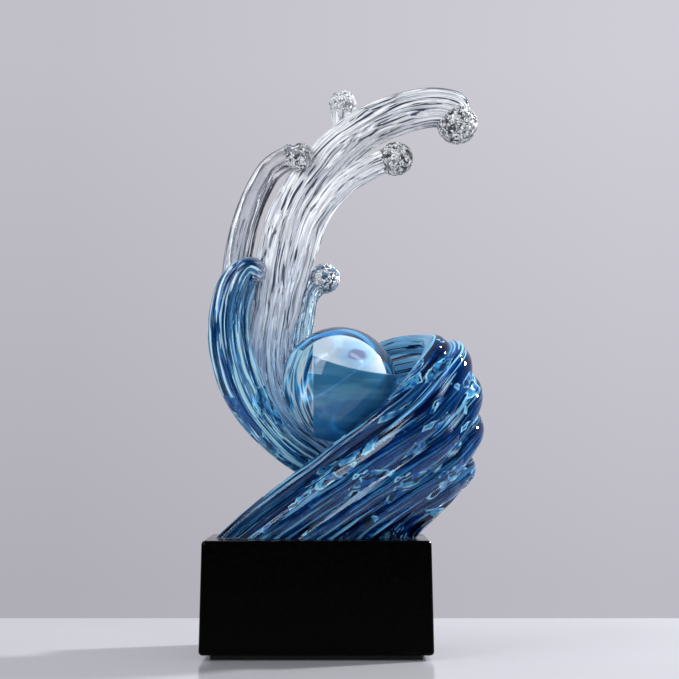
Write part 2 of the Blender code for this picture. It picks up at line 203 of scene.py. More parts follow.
@dataclass
class Strand:
    """One bundle of ribs drawn along a line.

    Ribs, grooves and crowns swell in slow waves. RIB_RATES and the first of each pair of waves
    are how many radians they turn on the strand's way, and each rib's wave is RIB_LEAD radians
    ahead of the one before, times the second of the pair. GROOVE_SWELL and CROWN_SWELL are the
    waves' heights as shares of the groove's depth. A rib rises at least LEAST_RISE of the
    radius over its grooves, and a drawn line's height changes LINE_KNOTS times on its way.

    Attributes:
        line: The points of its centre line.
        widths: Half-widths at places along the line.
        depths: Half-depths at places along the line.
        ribs: The share of the way round that each rib takes.
        groove: How deep the grooves between ribs are, as a share of the radius.
        start: The angle at which the first rib starts, in degrees from the outer side.
        twist: How far the ribs wind round the strand from end to end, in degrees.
        wander: How much the ribs swell and thin on their way.
        streaks: The height of the finest drawn lines, in millimetres.
        rings: Sections along the strand.
        step: Degrees between points round a section.
        facing: Which way the sections' depth points.
        fullness: Below 1, it swells the sections from ellipses towards boxes.
        round_tip: Whether the end is rounded off.
        foam: The knob at its end, if it has one.
    """

    RIB_LEAD = 2.4
    RIB_RATES = (5.0, 7.5, 10.0)
    GROOVE_WAVES = (7, 1.7)
    GROOVE_SWELL = 0.5
    CROWN_WAVES = (6, 2.9)
    CROWN_SWELL = 0.25
    LEAST_RISE = 0.004
    LINE_KNOTS = 9

    line: list[Point]
    widths: Stops
    depths: Stops
    ribs: list[float]
    groove: float = 0.1
    start: float = 0.0
    twist: float = 0.0
    wander: float = 0.25
    streaks: float = 0.12
    rings: int = 120
    step: float = 3.0
    facing: Facing = Facing.FRONT
    fullness: float = 1.0
    round_tip: bool = False
    foam: Foam | None = None

    def frames(self, at: np.ndarray) -> tuple[np.ndarray, np.ndarray, np.ndarray]:
        """Works out where each section lies.

        Args:
            at: Places along the line.

        Returns:
            The sections' centres, and the directions of their width and of their depth.
        """
        points = np.array(self.line, float)
        nudge = 0.01
        centre = catmull_rom(points, at)
        ahead = catmull_rom(points, np.minimum(at + nudge, 1))
        ahead -= catmull_rom(points, np.maximum(at - nudge, 0))
        up = np.array([0.0, 0.0, 1.0])
        if self.facing is Facing.LEVEL:
            ahead = np.broadcast_to(up, ahead.shape)
        facing = np.broadcast_to([0.0, -1.0, 0.0], ahead.shape)
        if self.facing is Facing.OUTWARD:
            facing = np.cross(ahead, up)
        across = unit(np.cross(facing, ahead))
        return centre, across, unit(np.cross(ahead, across))

    def waves(self, at: np.ndarray, turn: float | np.ndarray, lead: float = 1.0) -> np.ndarray:
        """Slow waves along the strand, from -1 to 1, with a column for each rib."""
        ahead = np.arange(len(self.ribs)) * self.RIB_LEAD
        return np.sin(at[:, None] * turn + ahead * lead)

    def rib_radii(self, at: np.ndarray) -> tuple[np.ndarray, np.ndarray]:
        """Works out the outline of each section, a chain of round ribs that meet in grooves.

        Args:
            at: Places along the line.

        Returns:
            The angles in radians and the radii, as a share of the full one, of each point.
        """
        count = len(self.ribs)
        rates = np.resize(self.RIB_RATES, count)
        spans = np.array(self.ribs) * (1 + self.wander * self.waves(at, rates))
        spans *= 2 * math.pi / spans.sum(1, keepdims=True)
        starts = np.cumsum(spans, 1) - spans
        level = 1 - self.groove * (1 + self.GROOVE_SWELL * self.waves(at, *self.GROOVE_WAVES))
        top = 1 - self.groove * self.CROWN_SWELL * (1 + self.waves(at, *self.CROWN_WAVES))
        angles = []
        radii = []
        for k in range(count):
            samples = max(5, round(self.ribs[k] / sum(self.ribs) * 360 / self.step))
            s = np.linspace(-1, 1, samples, endpoint=False)
            half = spans[:, k, None] / 2
            meet = np.where(s < 0, level[:, k, None], level[:, (k + 1) % count, None])
            crown = np.maximum(top[:, k, None], meet + self.LEAST_RISE)
            inner = (crown ** 2 - meet ** 2) / (2 * (crown - meet * np.cos(half)))
            round_of = crown - inner
            phi = half * s
            reach = np.maximum(round_of ** 2 - (inner * np.sin(phi)) ** 2, 0)
            radii.append(inner * np.cos(phi) + np.sqrt(reach))
            angles.append(starts[:, k, None] + half + phi)
        turned = math.radians(self.start) + math.radians(self.twist) * at[:, None]
        return np.hstack(angles) + turned, np.hstack(radii)

    def drawn_lines(self, at: np.ndarray, sides: int) -> np.ndarray:
        """Makes the finest lines, which run along the strand.

        Args:
            at: Places along the line.
            sides: Points round a section.

        Returns:
            The height of each point over the smooth rib, in millimetres.
        """
        draw = np.random.default_rng(sides + self.rings)
        rough = draw.standard_normal((self.LINE_KNOTS, sides))
        rough = (np.roll(rough, 1, 1) + 2 * rough + np.roll(rough, -1, 1)) / 3
        return self.streaks * catmull_rom(rough, at)

    def surface(self, grow: float) -> tuple[np.ndarray, np.ndarray, np.ndarray]:
        """Places every point of the skin.

        Args:
            grow: How much thicker to make the strand all round, in metres.

        Returns:
            Three arrays of rings, of points, of coordinates: the places in metres, the places
            in the strand as if it were straight, also in metres, and the same as shares of its
            half-width, its half-depth and its length.
        """
        at = np.linspace(0, 1, self.rings + 1)
        centre, across, facing = self.frames(at)
        angles, radii = self.rib_radii(at)
        shrink = np.ones_like(at)
        if self.round_tip:
            past = np.clip((at - TIP_START) / (1 - TIP_START), 0, 1)
            shrink = np.sqrt(np.maximum(1 - past ** 2, TIP_FLAT))
        width = (eased_stops(self.widths, at) * shrink)[:, None]
        depth = (eased_stops(self.depths, at) * shrink)[:, None]
        extra = grow / MM + self.drawn_lines(at, angles.shape[1]) * shrink[:, None]
        cos, sin = np.cos(angles), np.sin(angles)
        cos = np.sign(cos) * np.abs(cos) ** self.fullness
        sin = np.sign(sin) * np.abs(sin) ** self.fullness
        sideways = cos * (width * radii + extra)
        inwards = sin * (depth * radii + extra)
        points = (centre[:, None] + across[:, None] * sideways[..., None]
                  - facing[:, None] * inwards[..., None])
        steps = np.linalg.norm(np.diff(centre, axis=0), axis=1)
        run = np.broadcast_to(np.append(0, np.cumsum(steps))[:, None], sideways.shape)
        straight = np.stack([sideways, inwards, run], 2) * MM
        shares = np.stack([sideways / width, inwards / depth,
                           np.broadcast_to(at[:, None], sideways.shape)], 2)
        return points * MM + np.array([0, 0, PLINTH_TOP]), straight, shares

    def mesh(self, name: str, grow: float = 0.0) -> bpy.types.Object:
        """Skins the strand.

        Args:
            name: The name of the new object.
            grow: How much thicker to make it all round, in metres.

        Returns:
            The closed mesh, in place.
        """
        rings, straight, shares = self.surface(grow)
        count, sides = rings.shape[:2]
        verts = np.vstack([rings.reshape(-1, 3), rings[0].mean(0), rings[-1].mean(0)])
        j = np.arange(sides)
        k = (j + 1) % sides
        faces = []
        for i in range(count - 1):
            low, high = i * sides, (i + 1) * sides
            faces += np.stack([low + j, low + k, high + k, high + j], 1).tolist()
        end = (count - 1) * sides
        faces += np.stack([k, j, np.full(sides, count * sides)], 1).tolist()
        faces += np.stack([end + j, end + k, np.full(sides, count * sides + 1)], 1).tolist()
        data = bpy.data.meshes.new(name)
        data.from_pydata(verts.tolist(), [], faces)
        if signed_volume(data) < 0:
            data.flip_normals()
        corners = np.empty(len(data.loops), np.int32)
        data.loops.foreach_get("vertex_index", corners)
        for kind, field_of in ((GRAIN, straight), (SHARES, shares)):
            ends = [field_of[0].mean(0), field_of[-1].mean(0)]
            rows = np.vstack([field_of.reshape(-1, 3), *ends])
            layer = data.attributes.new(kind, "FLOAT_VECTOR", "CORNER")
            layer.data.foreach_set("vector", rows[corners].ravel())
        return add_object(name, data)

    def tip(self) -> np.ndarray:
        """The end of the centre line."""
        return np.array(self.line[-1], float)


def signed_volume(data: bpy.types.Mesh) -> float:
    """Measures the volume inside a mesh.

    Args:
        data: The closed mesh.

    Returns:
        The volume in cubic metres, below 0 where the faces point inwards.
    """
    data.calc_loop_triangles()
    points = np.empty(len(data.vertices) * 3)
    data.vertices.foreach_get("co", points)
    corners = np.empty(len(data.loop_triangles) * 3, np.int32)
    data.loop_triangles.foreach_get("vertices", corners)
    a, b, c = points.reshape(-1, 3)[corners.reshape(-1, 3)].transpose(1, 0, 2)
    return float(np.einsum("ij,ij->i", a, np.cross(b, c)).sum() / 6)


def add_object(name: str, data: bpy.types.ID) -> bpy.types.Object:
    """Puts an object into the scene.

    Args:
        name: The object's name.
        data: Its mesh, camera or lamp.

    Returns:
        The object.
    """
    obj = bpy.data.objects.new(name, data)
    bpy.context.scene.collection.objects.link(obj)
    return obj


def object_from(bm: bmesh.types.BMesh, name: str) -> bpy.types.Object:
    """Turns a bmesh into an object whose faces point outwards.

    Args:
        bm: The bmesh, which is freed.
        name: The object's name.

    Returns:
        The object.
    """
    bmesh.ops.recalc_face_normals(bm, faces=bm.faces)
    data = bpy.data.meshes.new(name)
    bm.to_mesh(data)
    bm.free()
    return add_object(name, data)


def combine(body: bpy.types.Object, tool: bpy.types.Object, operation: str) -> None:
    """Applies one Boolean to the body and removes the tool.

    Args:
        body: The object that stays.
        tool: The object that is added or cut away.
        operation: UNION or DIFFERENCE.
    """
    modifier = body.modifiers.new(tool.name, "BOOLEAN")
    modifier.operation = operation
    modifier.solver = "MANIFOLD"
    modifier.object = tool
    graph = bpy.context.evaluated_depsgraph_get()
    result = bpy.data.meshes.new_from_object(body.evaluated_get(graph))
    body.modifiers.remove(modifier)
    body.data = result
    bpy.data.objects.remove(tool)


def main_skin(body: bpy.types.Object) -> None:
    """Drops the slivers and hollows that a cut leaves beside the main skin.

    Args:
        body: The object to clean.
    """
    bm = bmesh.new()
    bm.from_mesh(body.data)
    bmesh.ops.dissolve_degenerate(bm, edges=bm.edges, dist=SLIVER)
    left = set(bm.faces)
    skins = []
    while left:
        skin = [left.pop()]
        for face in skin:
            near = {other for edge in face.edges for other in edge.link_faces} & left
            left -= near
            skin.extend(near)
        skins.append(skin)
    skins.sort(key=len)
    for skin in skins[:-1]:
        bmesh.ops.delete(bm, geom=skin, context="FACES")
    bm.to_mesh(body.data)
    bm.free()


class Graph:
    """A short way to write a node tree.

    Attributes:
        tree: The tree that it fills.
        bend: How far the drawn lines stray from their strand's direction, in metres.
    """

    def __init__(self, tree: bpy.types.NodeTree) -> None:
        """Starts from an empty tree.

        Args:
            tree: The tree to fill.
        """
        self.tree = tree
        self.bend = 0.0
        tree.nodes.clear()

    def add(self, kind: str, inputs: dict | None = None, **settings: str) -> Node:
        """Adds a node.

        Args:
            kind: Its type, such as ShaderNodeMath.
            inputs: Values or sockets for its inputs, by name or number.
            settings: Its own properties.

        Returns:
            The node.
        """
        node = self.tree.nodes.new(kind)
        for key, value in settings.items():
            setattr(node, key, value)
        for key, value in (inputs or {}).items():
            if isinstance(value, Socket):
                self.tree.links.new(value, node.inputs[key])
            elif value is not None:
                node.inputs[key].default_value = value
        return node

    def math(self, operation: str, *values: Socket | float) -> Socket:
        """Adds a Math node and returns its result."""
        return self.add("ShaderNodeMath", dict(enumerate(values)), operation=operation).outputs[0]

    def between(self, value: Socket, span: Span, to: Span = (0, 1), smooth: bool = False) -> Socket:
        """Maps a value from one range to another, and holds it there.

        Args:
            value: The value.
            span: The range that it is read over, which may run downwards.
            to: The range that it is mapped to.
            smooth: Whether it eases in and out.

        Returns:
            The mapped value.
        """
        inputs = dict(enumerate((value, *span, *to)))
        kind = "SMOOTHSTEP" if smooth else "LINEAR"
        return self.add("ShaderNodeMapRange", inputs, interpolation_type=kind).outputs[0]

    def mix(self, share: Socket | float, a: Socket | Colour, b: Socket | Colour,
            blend: str = "MIX") -> Socket:
        """Mixes two colours.

        Args:
            share: How much of the second one there is.
            a: The first colour.
            b: The second one.
            blend: How they are mixed.

        Returns:
            The mixed colour.
        """
        inputs = {0: share}
        for key, colour in ((6, a), (7, b)):
            inputs[key] = (*colour, 1) if isinstance(colour, tuple) else colour
        return self.add("ShaderNodeMix", inputs, data_type="RGBA", blend_type=blend).outputs[2]

    def multiply(self, a: Socket, b: Socket | Colour) -> Socket:
        """Multiplies two colours."""
        return self.mix(1.0, a, b, "MULTIPLY")

    def ramp(self, value: Socket, stops: Tints) -> Socket:
        """Reads a colour from stops.

        Args:
            value: The place to read.
            stops: Places from 0 to 1, with the colour there.

        Returns:
            The colour.
        """
        node = self.add("ShaderNodeValToRGB", {0: value})
        line = node.color_ramp.elements
        while len(line) < len(stops):
            line.new(0.5)
        for element, (place, colour) in zip(line, stops):
            element.position = place
            element.color = (*colour, 1)
        return node.outputs[0]

    def spot(self) -> Socket:
        """The place in the model's frame, in metres."""
        return self.add("ShaderNodeTexCoord").outputs["Object"]

    def carried(self, name: str) -> Socket:
        """A place that the strand's skin carries, under this name."""
        return self.add("ShaderNodeAttribute", attribute_name=name).outputs["Vector"]

    def split(self, spot: Socket) -> list[Socket]:
        """Splits a place into its three coordinates."""
        return list(self.add("ShaderNodeSeparateXYZ", {0: spot}).outputs)

    def shares(self) -> list[Socket]:
        """Where the point is across, through and along its strand."""
        return self.split(self.carried(SHARES))

    def scaled(self, spot: Socket, scale: Point, shift: Point = (0, 0, 0)) -> Socket:
        """Stretches a place along the axes and shifts it."""
        inputs = {"Vector": spot, "Scale": scale, "Location": shift}
        return self.add("ShaderNodeMapping", inputs).outputs[0]

    def cloud(self, spot: Socket, scale: float, detail: float = 2.0) -> Node:
        """Adds noise over a place, at so many waves a metre."""
        return self.add("ShaderNodeTexNoise", {"Vector": spot, "Scale": scale, "Detail": detail})

    def strayed(self, spot: Socket, reach: Point, cloud: Node) -> Socket:
        """Moves a place by a cloud's colour, times the reach along each axis."""
        inputs = {0: cloud.outputs["Color"], 1: reach, 2: spot}
        return self.add("ShaderNodeVectorMath", inputs, operation="MULTIPLY_ADD").outputs[0]

    def noise(self, scale: float, detail: float = 2.0, stretch: Point = (1, 1, 1)) -> Socket:
        """Noise over the model's frame, at so many waves a metre."""
        return self.cloud(self.scaled(self.spot(), stretch), scale, detail).outputs[0]

    def drawn(self) -> Socket:
        """Bends the straightened strand, so that no line runs quite straight.

        Returns:
            The place in the bent strand.
        """
        spot = self.carried(GRAIN)
        slow = self.cloud(self.scaled(spot, (1, 1, 0.45)), 75.0, 1.0)
        return self.strayed(spot, (self.bend, self.bend, 0), slow)

    def grain(self, scale: float, along: float, detail: float = 3.0, shift: float = 0.0) -> Socket:
        """Noise drawn out along a strand: waves a metre across it, and their share along it."""
        place = self.scaled(self.drawn(), (1, 1, along), (shift, 0, 0))
        return self.cloud(place, scale, detail).outputs[0]

    def cells(self, spot: Socket, scale: float) -> tuple[Socket, Socket, Socket]:
        """Divides space into cells.

        Args:
            spot: The place.
            scale: Cells a metre.

        Returns:
            A random number for each cell, and how far the place is from its seed and its edge.
        """
        inputs = {"Vector": spot, "Scale": scale}
        inner = self.add("ShaderNodeTexVoronoi", inputs).outputs
        edge = self.add("ShaderNodeTexVoronoi", inputs, feature="DISTANCE_TO_EDGE").outputs
        chance = self.add("ShaderNodeSeparateColor", {0: inner["Color"]}).outputs[0]
        return chance, inner["Distance"], edge["Distance"]

    def bump(self, height: Socket, distance: float) -> Socket:
        """Turns heights into a bumped normal."""
        return self.add("ShaderNodeBump", {"Height": height, "Distance": distance}).outputs[0]

    def surface(self, inputs: dict, inside: Socket | None = None) -> None:
        """Ends a material with its shader, and with what fills the depth behind its surface."""
        shader = self.add("ShaderNodeBsdfPrincipled", inputs)
        self.add("ShaderNodeOutputMaterial", {"Surface": shader.outputs[0], "Volume": inside})


def new_material(name: str) -> tuple[bpy.types.Material, Graph]:
    """Makes an empty node material.

    Args:
        name: Its name.

    Returns:
        The material, and the graph to fill it with.
    """
    made = bpy.data.materials.new(name)
    made.use_nodes = True
    return made, Graph(made.node_tree)


@dataclass(frozen=True)
class Resin:
    """Cast resin, tinted by height and across each strand, with drawn lines along it. The tints
    across a strand and the drawn lines are partly painted light and shade.

    The values in capitals are common to all resins. A pair of numbers is where a feature starts
    and where it is full: in its noise, across, through or along a strand, or within a patch.

    Attributes:
        name: The material's name.
        slot: The record's slot that it belongs to; not used here.
        tints: Heights over the plinth in millimetres, from low to high, with the tint there.
        across: Places from -1 at a strand's inner edge to 1 at its outer one, with the tint there,
            which also paints light and shade: dark outlines, bright edge highlights and lit and
            shaded bands.
        along: Places from 0 to 1 along a strand, with the tint there; in the swirl it darkens the
            foot, painted shade for the black plinth seen through the resin.
        fade: The place along a strand from which its tint and lines fade away.
        within: How far the side that faces into the bowl pales.
        dark_line: The tint of the dark drawn lines, partly painted shade for the dark streaks that
            refraction shows.
        pale_line: The tint of the pale ones, partly painted highlights.
        lines: How fine the finest lines are, in waves a metre.
        bend: How far they stray from the strand's direction, in metres.
        bands: How dark the broader lines are.
        calm: How strong the lines are in the middle of a strand's face, past its foot.
        tones: Places from 0 to 1 through the broad drawn bands, with the tint there.
        glow: The share of a strand's lower part, from 0, that pale patches take.
        clear: How much of the light its skin lets through.
        milk: How much the pale lines scatter.
        haze: How much it scatters between them.
        shine: The strength of its mirror reflections, 0.5 for resin as it is.
        absorbs: The colour that passes through the resin's depth.
        density: How strongly it absorbs, for each metre.
        roughness: How matt its skin is at most.
        ripple: The height of the drawn lines' ripples, in metres.
    """

    FINE_DARK = (0.585, 0.61)
    FINE_PALE = (0.44, 0.41)
    BROAD_DARK = (0.58, 0.64)
    BROAD_PALE = (0.41, 0.36)
    BROAD_PALENESS = 0.35
    PAST_FOOT = (0.15, 0.3)
    FOOT_LINES = 0.65
    TOWARDS_EDGE = (0.3, 0.75)
    BEHIND = (0.1, 0.4)
    BAND = (0.55, 0.95)
    IN_BOWL = (0.1, 0.5)
    BOWL_TINT = (0.3, 0.65, 0.9)
    BOWL_MILK = 0.5
    FADE_LENGTH = 0.05
    FADED = 0.85
    FADED_TINT = (0.9, 0.93, 1.0)
    PATCH_STRAY = 0.0035
    PATCHES_AT = 0.34
    PATCHES_END = (0.1, 0.3)
    PATCH_SKIN = (0.05, 0.08)
    PATCH_RIM = (0.12, 0.16)
    PATCH_SPOT = (0.53, 0.57)
    PATCH_GLEAM = (0.4, 0.62)
    PATCH_TINTS = ((0.01, 0.12, 0.38), (0.09, 0.42, 0.72))
    PATCH_RIM_TINT = (0.4, 0.8, 0.95)
    PATCH_MILK = 0.5

    name: str
    slot: Slot
    tints: Tints
    across: Tints = ((-1.0, WHITE), (1.0, WHITE))
    along: Tints = ((0.0, WHITE), (1.0, WHITE))
    fade: float = 2.0
    within: float = 0.0
    dark_line: Colour = (0.09, 0.1, 0.13)
    pale_line: Colour = WHITE
    lines: float = 500.0
    bend: float = 0.003
    bands: float = 0.7
    calm: float = 1.0
    tones: Tints = ((0.0, WHITE), (1.0, WHITE))
    glow: float = 0.0
    clear: float = 1.0
    milk: float = 0.6
    haze: float = 0.0
    shine: float = 0.5
    absorbs: Colour = WHITE
    density: float = 0.0
    roughness: float = 0.02
    ripple: float = 0.0005

    def waver(self, graph: Graph, reach: float) -> Socket:
        """A slow waver along a strand, up to the reach either way."""
        return graph.between(graph.grain(60, 0.1, 1), NOISE_RANGE, (-reach, reach))

    def tint(self, graph: Graph) -> Socket:
        """Works out the tint by height.

        Args:
            graph: The material's graph.

        Returns:
            The tint.
        """
        low, high = self.tints[0][0], self.tints[-1][0]
        drift = graph.between(graph.grain(40, 0.2), NOISE_RANGE, (-0.012, 0.012))
        height = graph.math("ADD", graph.split(graph.spot())[2], drift)
        place = graph.between(height, (PLINTH_TOP + low * MM, PLINTH_TOP + high * MM))
        return graph.ramp(place, [((h - low) / (high - low), c) for h, c in self.tints])

    def sideways(self, graph: Graph) -> Socket:
        """Works out the tint across a strand, with a wavering edge, which carries painted light and
        shade as well as colour.

        Args:
            graph: The material's graph.

        Returns:
            The tint.
        """
        place = graph.math("ADD", graph.shares()[0], self.waver(graph, 0.15))
        place = graph.between(place, (-1, 1))
        return graph.ramp(place, [((p + 1) / 2, c) for p, c in self.across])

    def line_shares(self, graph: Graph, fine: Socket, broad: Socket) -> tuple[Socket, Socket]:
        """Works out the lines drawn along a strand, weaker in the middle of its face: partly flow
        lines, partly painted shade and painted highlights.

        Args:
            graph: The material's graph.
            fine: The noise of the fine lines.
            broad: The noise of the broad ones.

        Returns:
            How much dark line and how much pale line there is.
        """
        side, through, way = graph.shares()
        past_foot = graph.between(way, self.PAST_FOOT, (self.FOOT_LINES, self.calm))
        edge = graph.between(graph.math("ABSOLUTE", side), self.TOWARDS_EDGE, (self.calm, 1.0))
        strength = graph.math("MAXIMUM", past_foot, edge)
        strength = graph.math("MAXIMUM", strength, graph.between(through, self.BEHIND))
        dark = graph.math("MAXIMUM", graph.between(fine, self.FINE_DARK, smooth=True),
                          graph.between(broad, self.BROAD_DARK, (0.0, self.bands), smooth=True))
        pale = graph.between(broad, self.BROAD_PALE, (0.0, self.BROAD_PALENESS), smooth=True)
        pale = graph.math("MAXIMUM", graph.between(fine, self.FINE_PALE, smooth=True), pale)
        return graph.math("MULTIPLY", dark, strength), graph.math("MULTIPLY", pale, strength)

    def patches(self, graph: Graph) -> tuple[Socket, Socket, Socket]:
        """Lays out lens-shaped patches of gathered light, drawn out along the strand.

        Args:
            graph: The material's graph.

        Returns:
            The patches, their bright outlines and their dark spots, each as a share.
        """
        spot = graph.drawn()
        spot = graph.strayed(spot, (self.PATCH_STRAY,) * 3, graph.cloud(spot, 160.0))
        chance, _, edge = graph.cells(graph.scaled(spot, (1, 1, 0.4)), 115.0)
        away = graph.math("SUBTRACT", graph.shares()[2], self.PATCHES_AT)
        away = graph.math("ABSOLUTE", away)
        share = graph.between(away, self.PATCHES_END, (self.glow, 0.0))
        chosen = graph.math("LESS_THAN", chance, share)
        inside = graph.math("MULTIPLY", chosen, graph.between(edge, self.PATCH_SKIN))
        rim = graph.math("MULTIPLY", inside, graph.between(edge, self.PATCH_RIM, (1.0, 0.0)))
        spots = graph.between(graph.grain(280, 0.5, 1), self.PATCH_SPOT)
        spots = graph.math("MULTIPLY", graph.math("SUBTRACT", inside, rim), spots)
        return inside, rim, spots

    def glowing(self, graph: Graph, colour: Socket, milky: Socket) -> tuple[Socket, Socket]:
        """Adds the patches of gathered light.

        Args:
            graph: The material's graph.
            colour: The colour without them.
            milky: How much the skin scatters without them.

        Returns:
            The colour and the scatter with them.
        """
        patch, rim, spots = self.patches(graph)
        gleam = graph.between(graph.noise(140, 2), self.PATCH_GLEAM)
        colour = graph.mix(patch, colour, graph.mix(gleam, *self.PATCH_TINTS))
        colour = graph.mix(graph.math("MULTIPLY", rim, gleam), colour, self.PATCH_RIM_TINT)
        colour = graph.mix(spots, colour, self.dark_line)
        milk = graph.math("MULTIPLY", patch, self.PATCH_MILK)
        return colour, graph.math("MAXIMUM", milky, milk)

    def material(self) -> bpy.types.Material:
        """Builds the resin's material.

        Returns:
            The material.
        """
        made, graph = new_material(self.name)
        graph.bend = self.bend
        fine = graph.grain(self.lines, 0.02, 1)
        broad = graph.grain(190, 0.04, 1, shift=0.3)
        dark, pale = self.line_shares(graph, fine, broad)
        _, through, way = graph.shares()
        inner = graph.between(through, self.IN_BOWL, (0.0, self.within))
        way = graph.math("ADD", way, self.waver(graph, 0.06))
        tint = self.tint(graph)
        # Across a strand: tints that also paint dark edges, bright edge highlights and lit and
        # shaded bands.
        colour = graph.multiply(tint, self.sideways(graph))
        band = graph.math("MULTIPLY_ADD", fine, 0.5, graph.grain(130, 0.05, 2))
        colour = graph.multiply(colour, graph.ramp(graph.between(band, self.BAND), self.tones))
        colour = graph.mix(inner, colour, self.BOWL_TINT)
        # Along a strand; in the swirl this darkens the foot, painted shade for the black plinth
        # seen through it.
        colour = graph.multiply(colour, graph.ramp(way, self.along))
        # The dark and pale lines are partly flow lines and partly painted shade and painted
        # highlights, standing in for the streaks that refraction shows.
        colour = graph.mix(dark, colour, graph.multiply(colour, self.dark_line))
        colour = graph.mix(pale, colour, graph.multiply(tint, self.pale_line))
        faded = graph.between(way, (self.fade, self.fade + self.FADE_LENGTH), (0.0, self.FADED))
        colour = graph.mix(faded, colour, self.FADED_TINT)
        milky = graph.math("MAXIMUM", graph.math("MULTIPLY", pale, self.milk), self.haze)
        milky = graph.math("MAXIMUM", milky, graph.math("MULTIPLY", inner, self.BOWL_MILK))
        if self.glow:
            colour, milky = self.glowing(graph, colour, milky)
        inside = None
        if self.density:
            inside = graph.add("ShaderNodeVolumeAbsorption", {
                "Color": (*self.absorbs, 1), "Density": self.density}).outputs[0]
        relief = graph.math("MULTIPLY_ADD", fine, 0.5, broad)
        graph.surface({
            "Base Color": colour, "IOR": RESIN_IOR, "Normal": graph.bump(relief, self.ripple),
            "Roughness": graph.between(graph.noise(60, 4), (0.4, 0.7), (0.0, self.roughness)),
            "Transmission Weight": graph.math("MULTIPLY_ADD", milky, -self.clear, self.clear),
            "Specular IOR Level": self.shine}, inside)
        return made


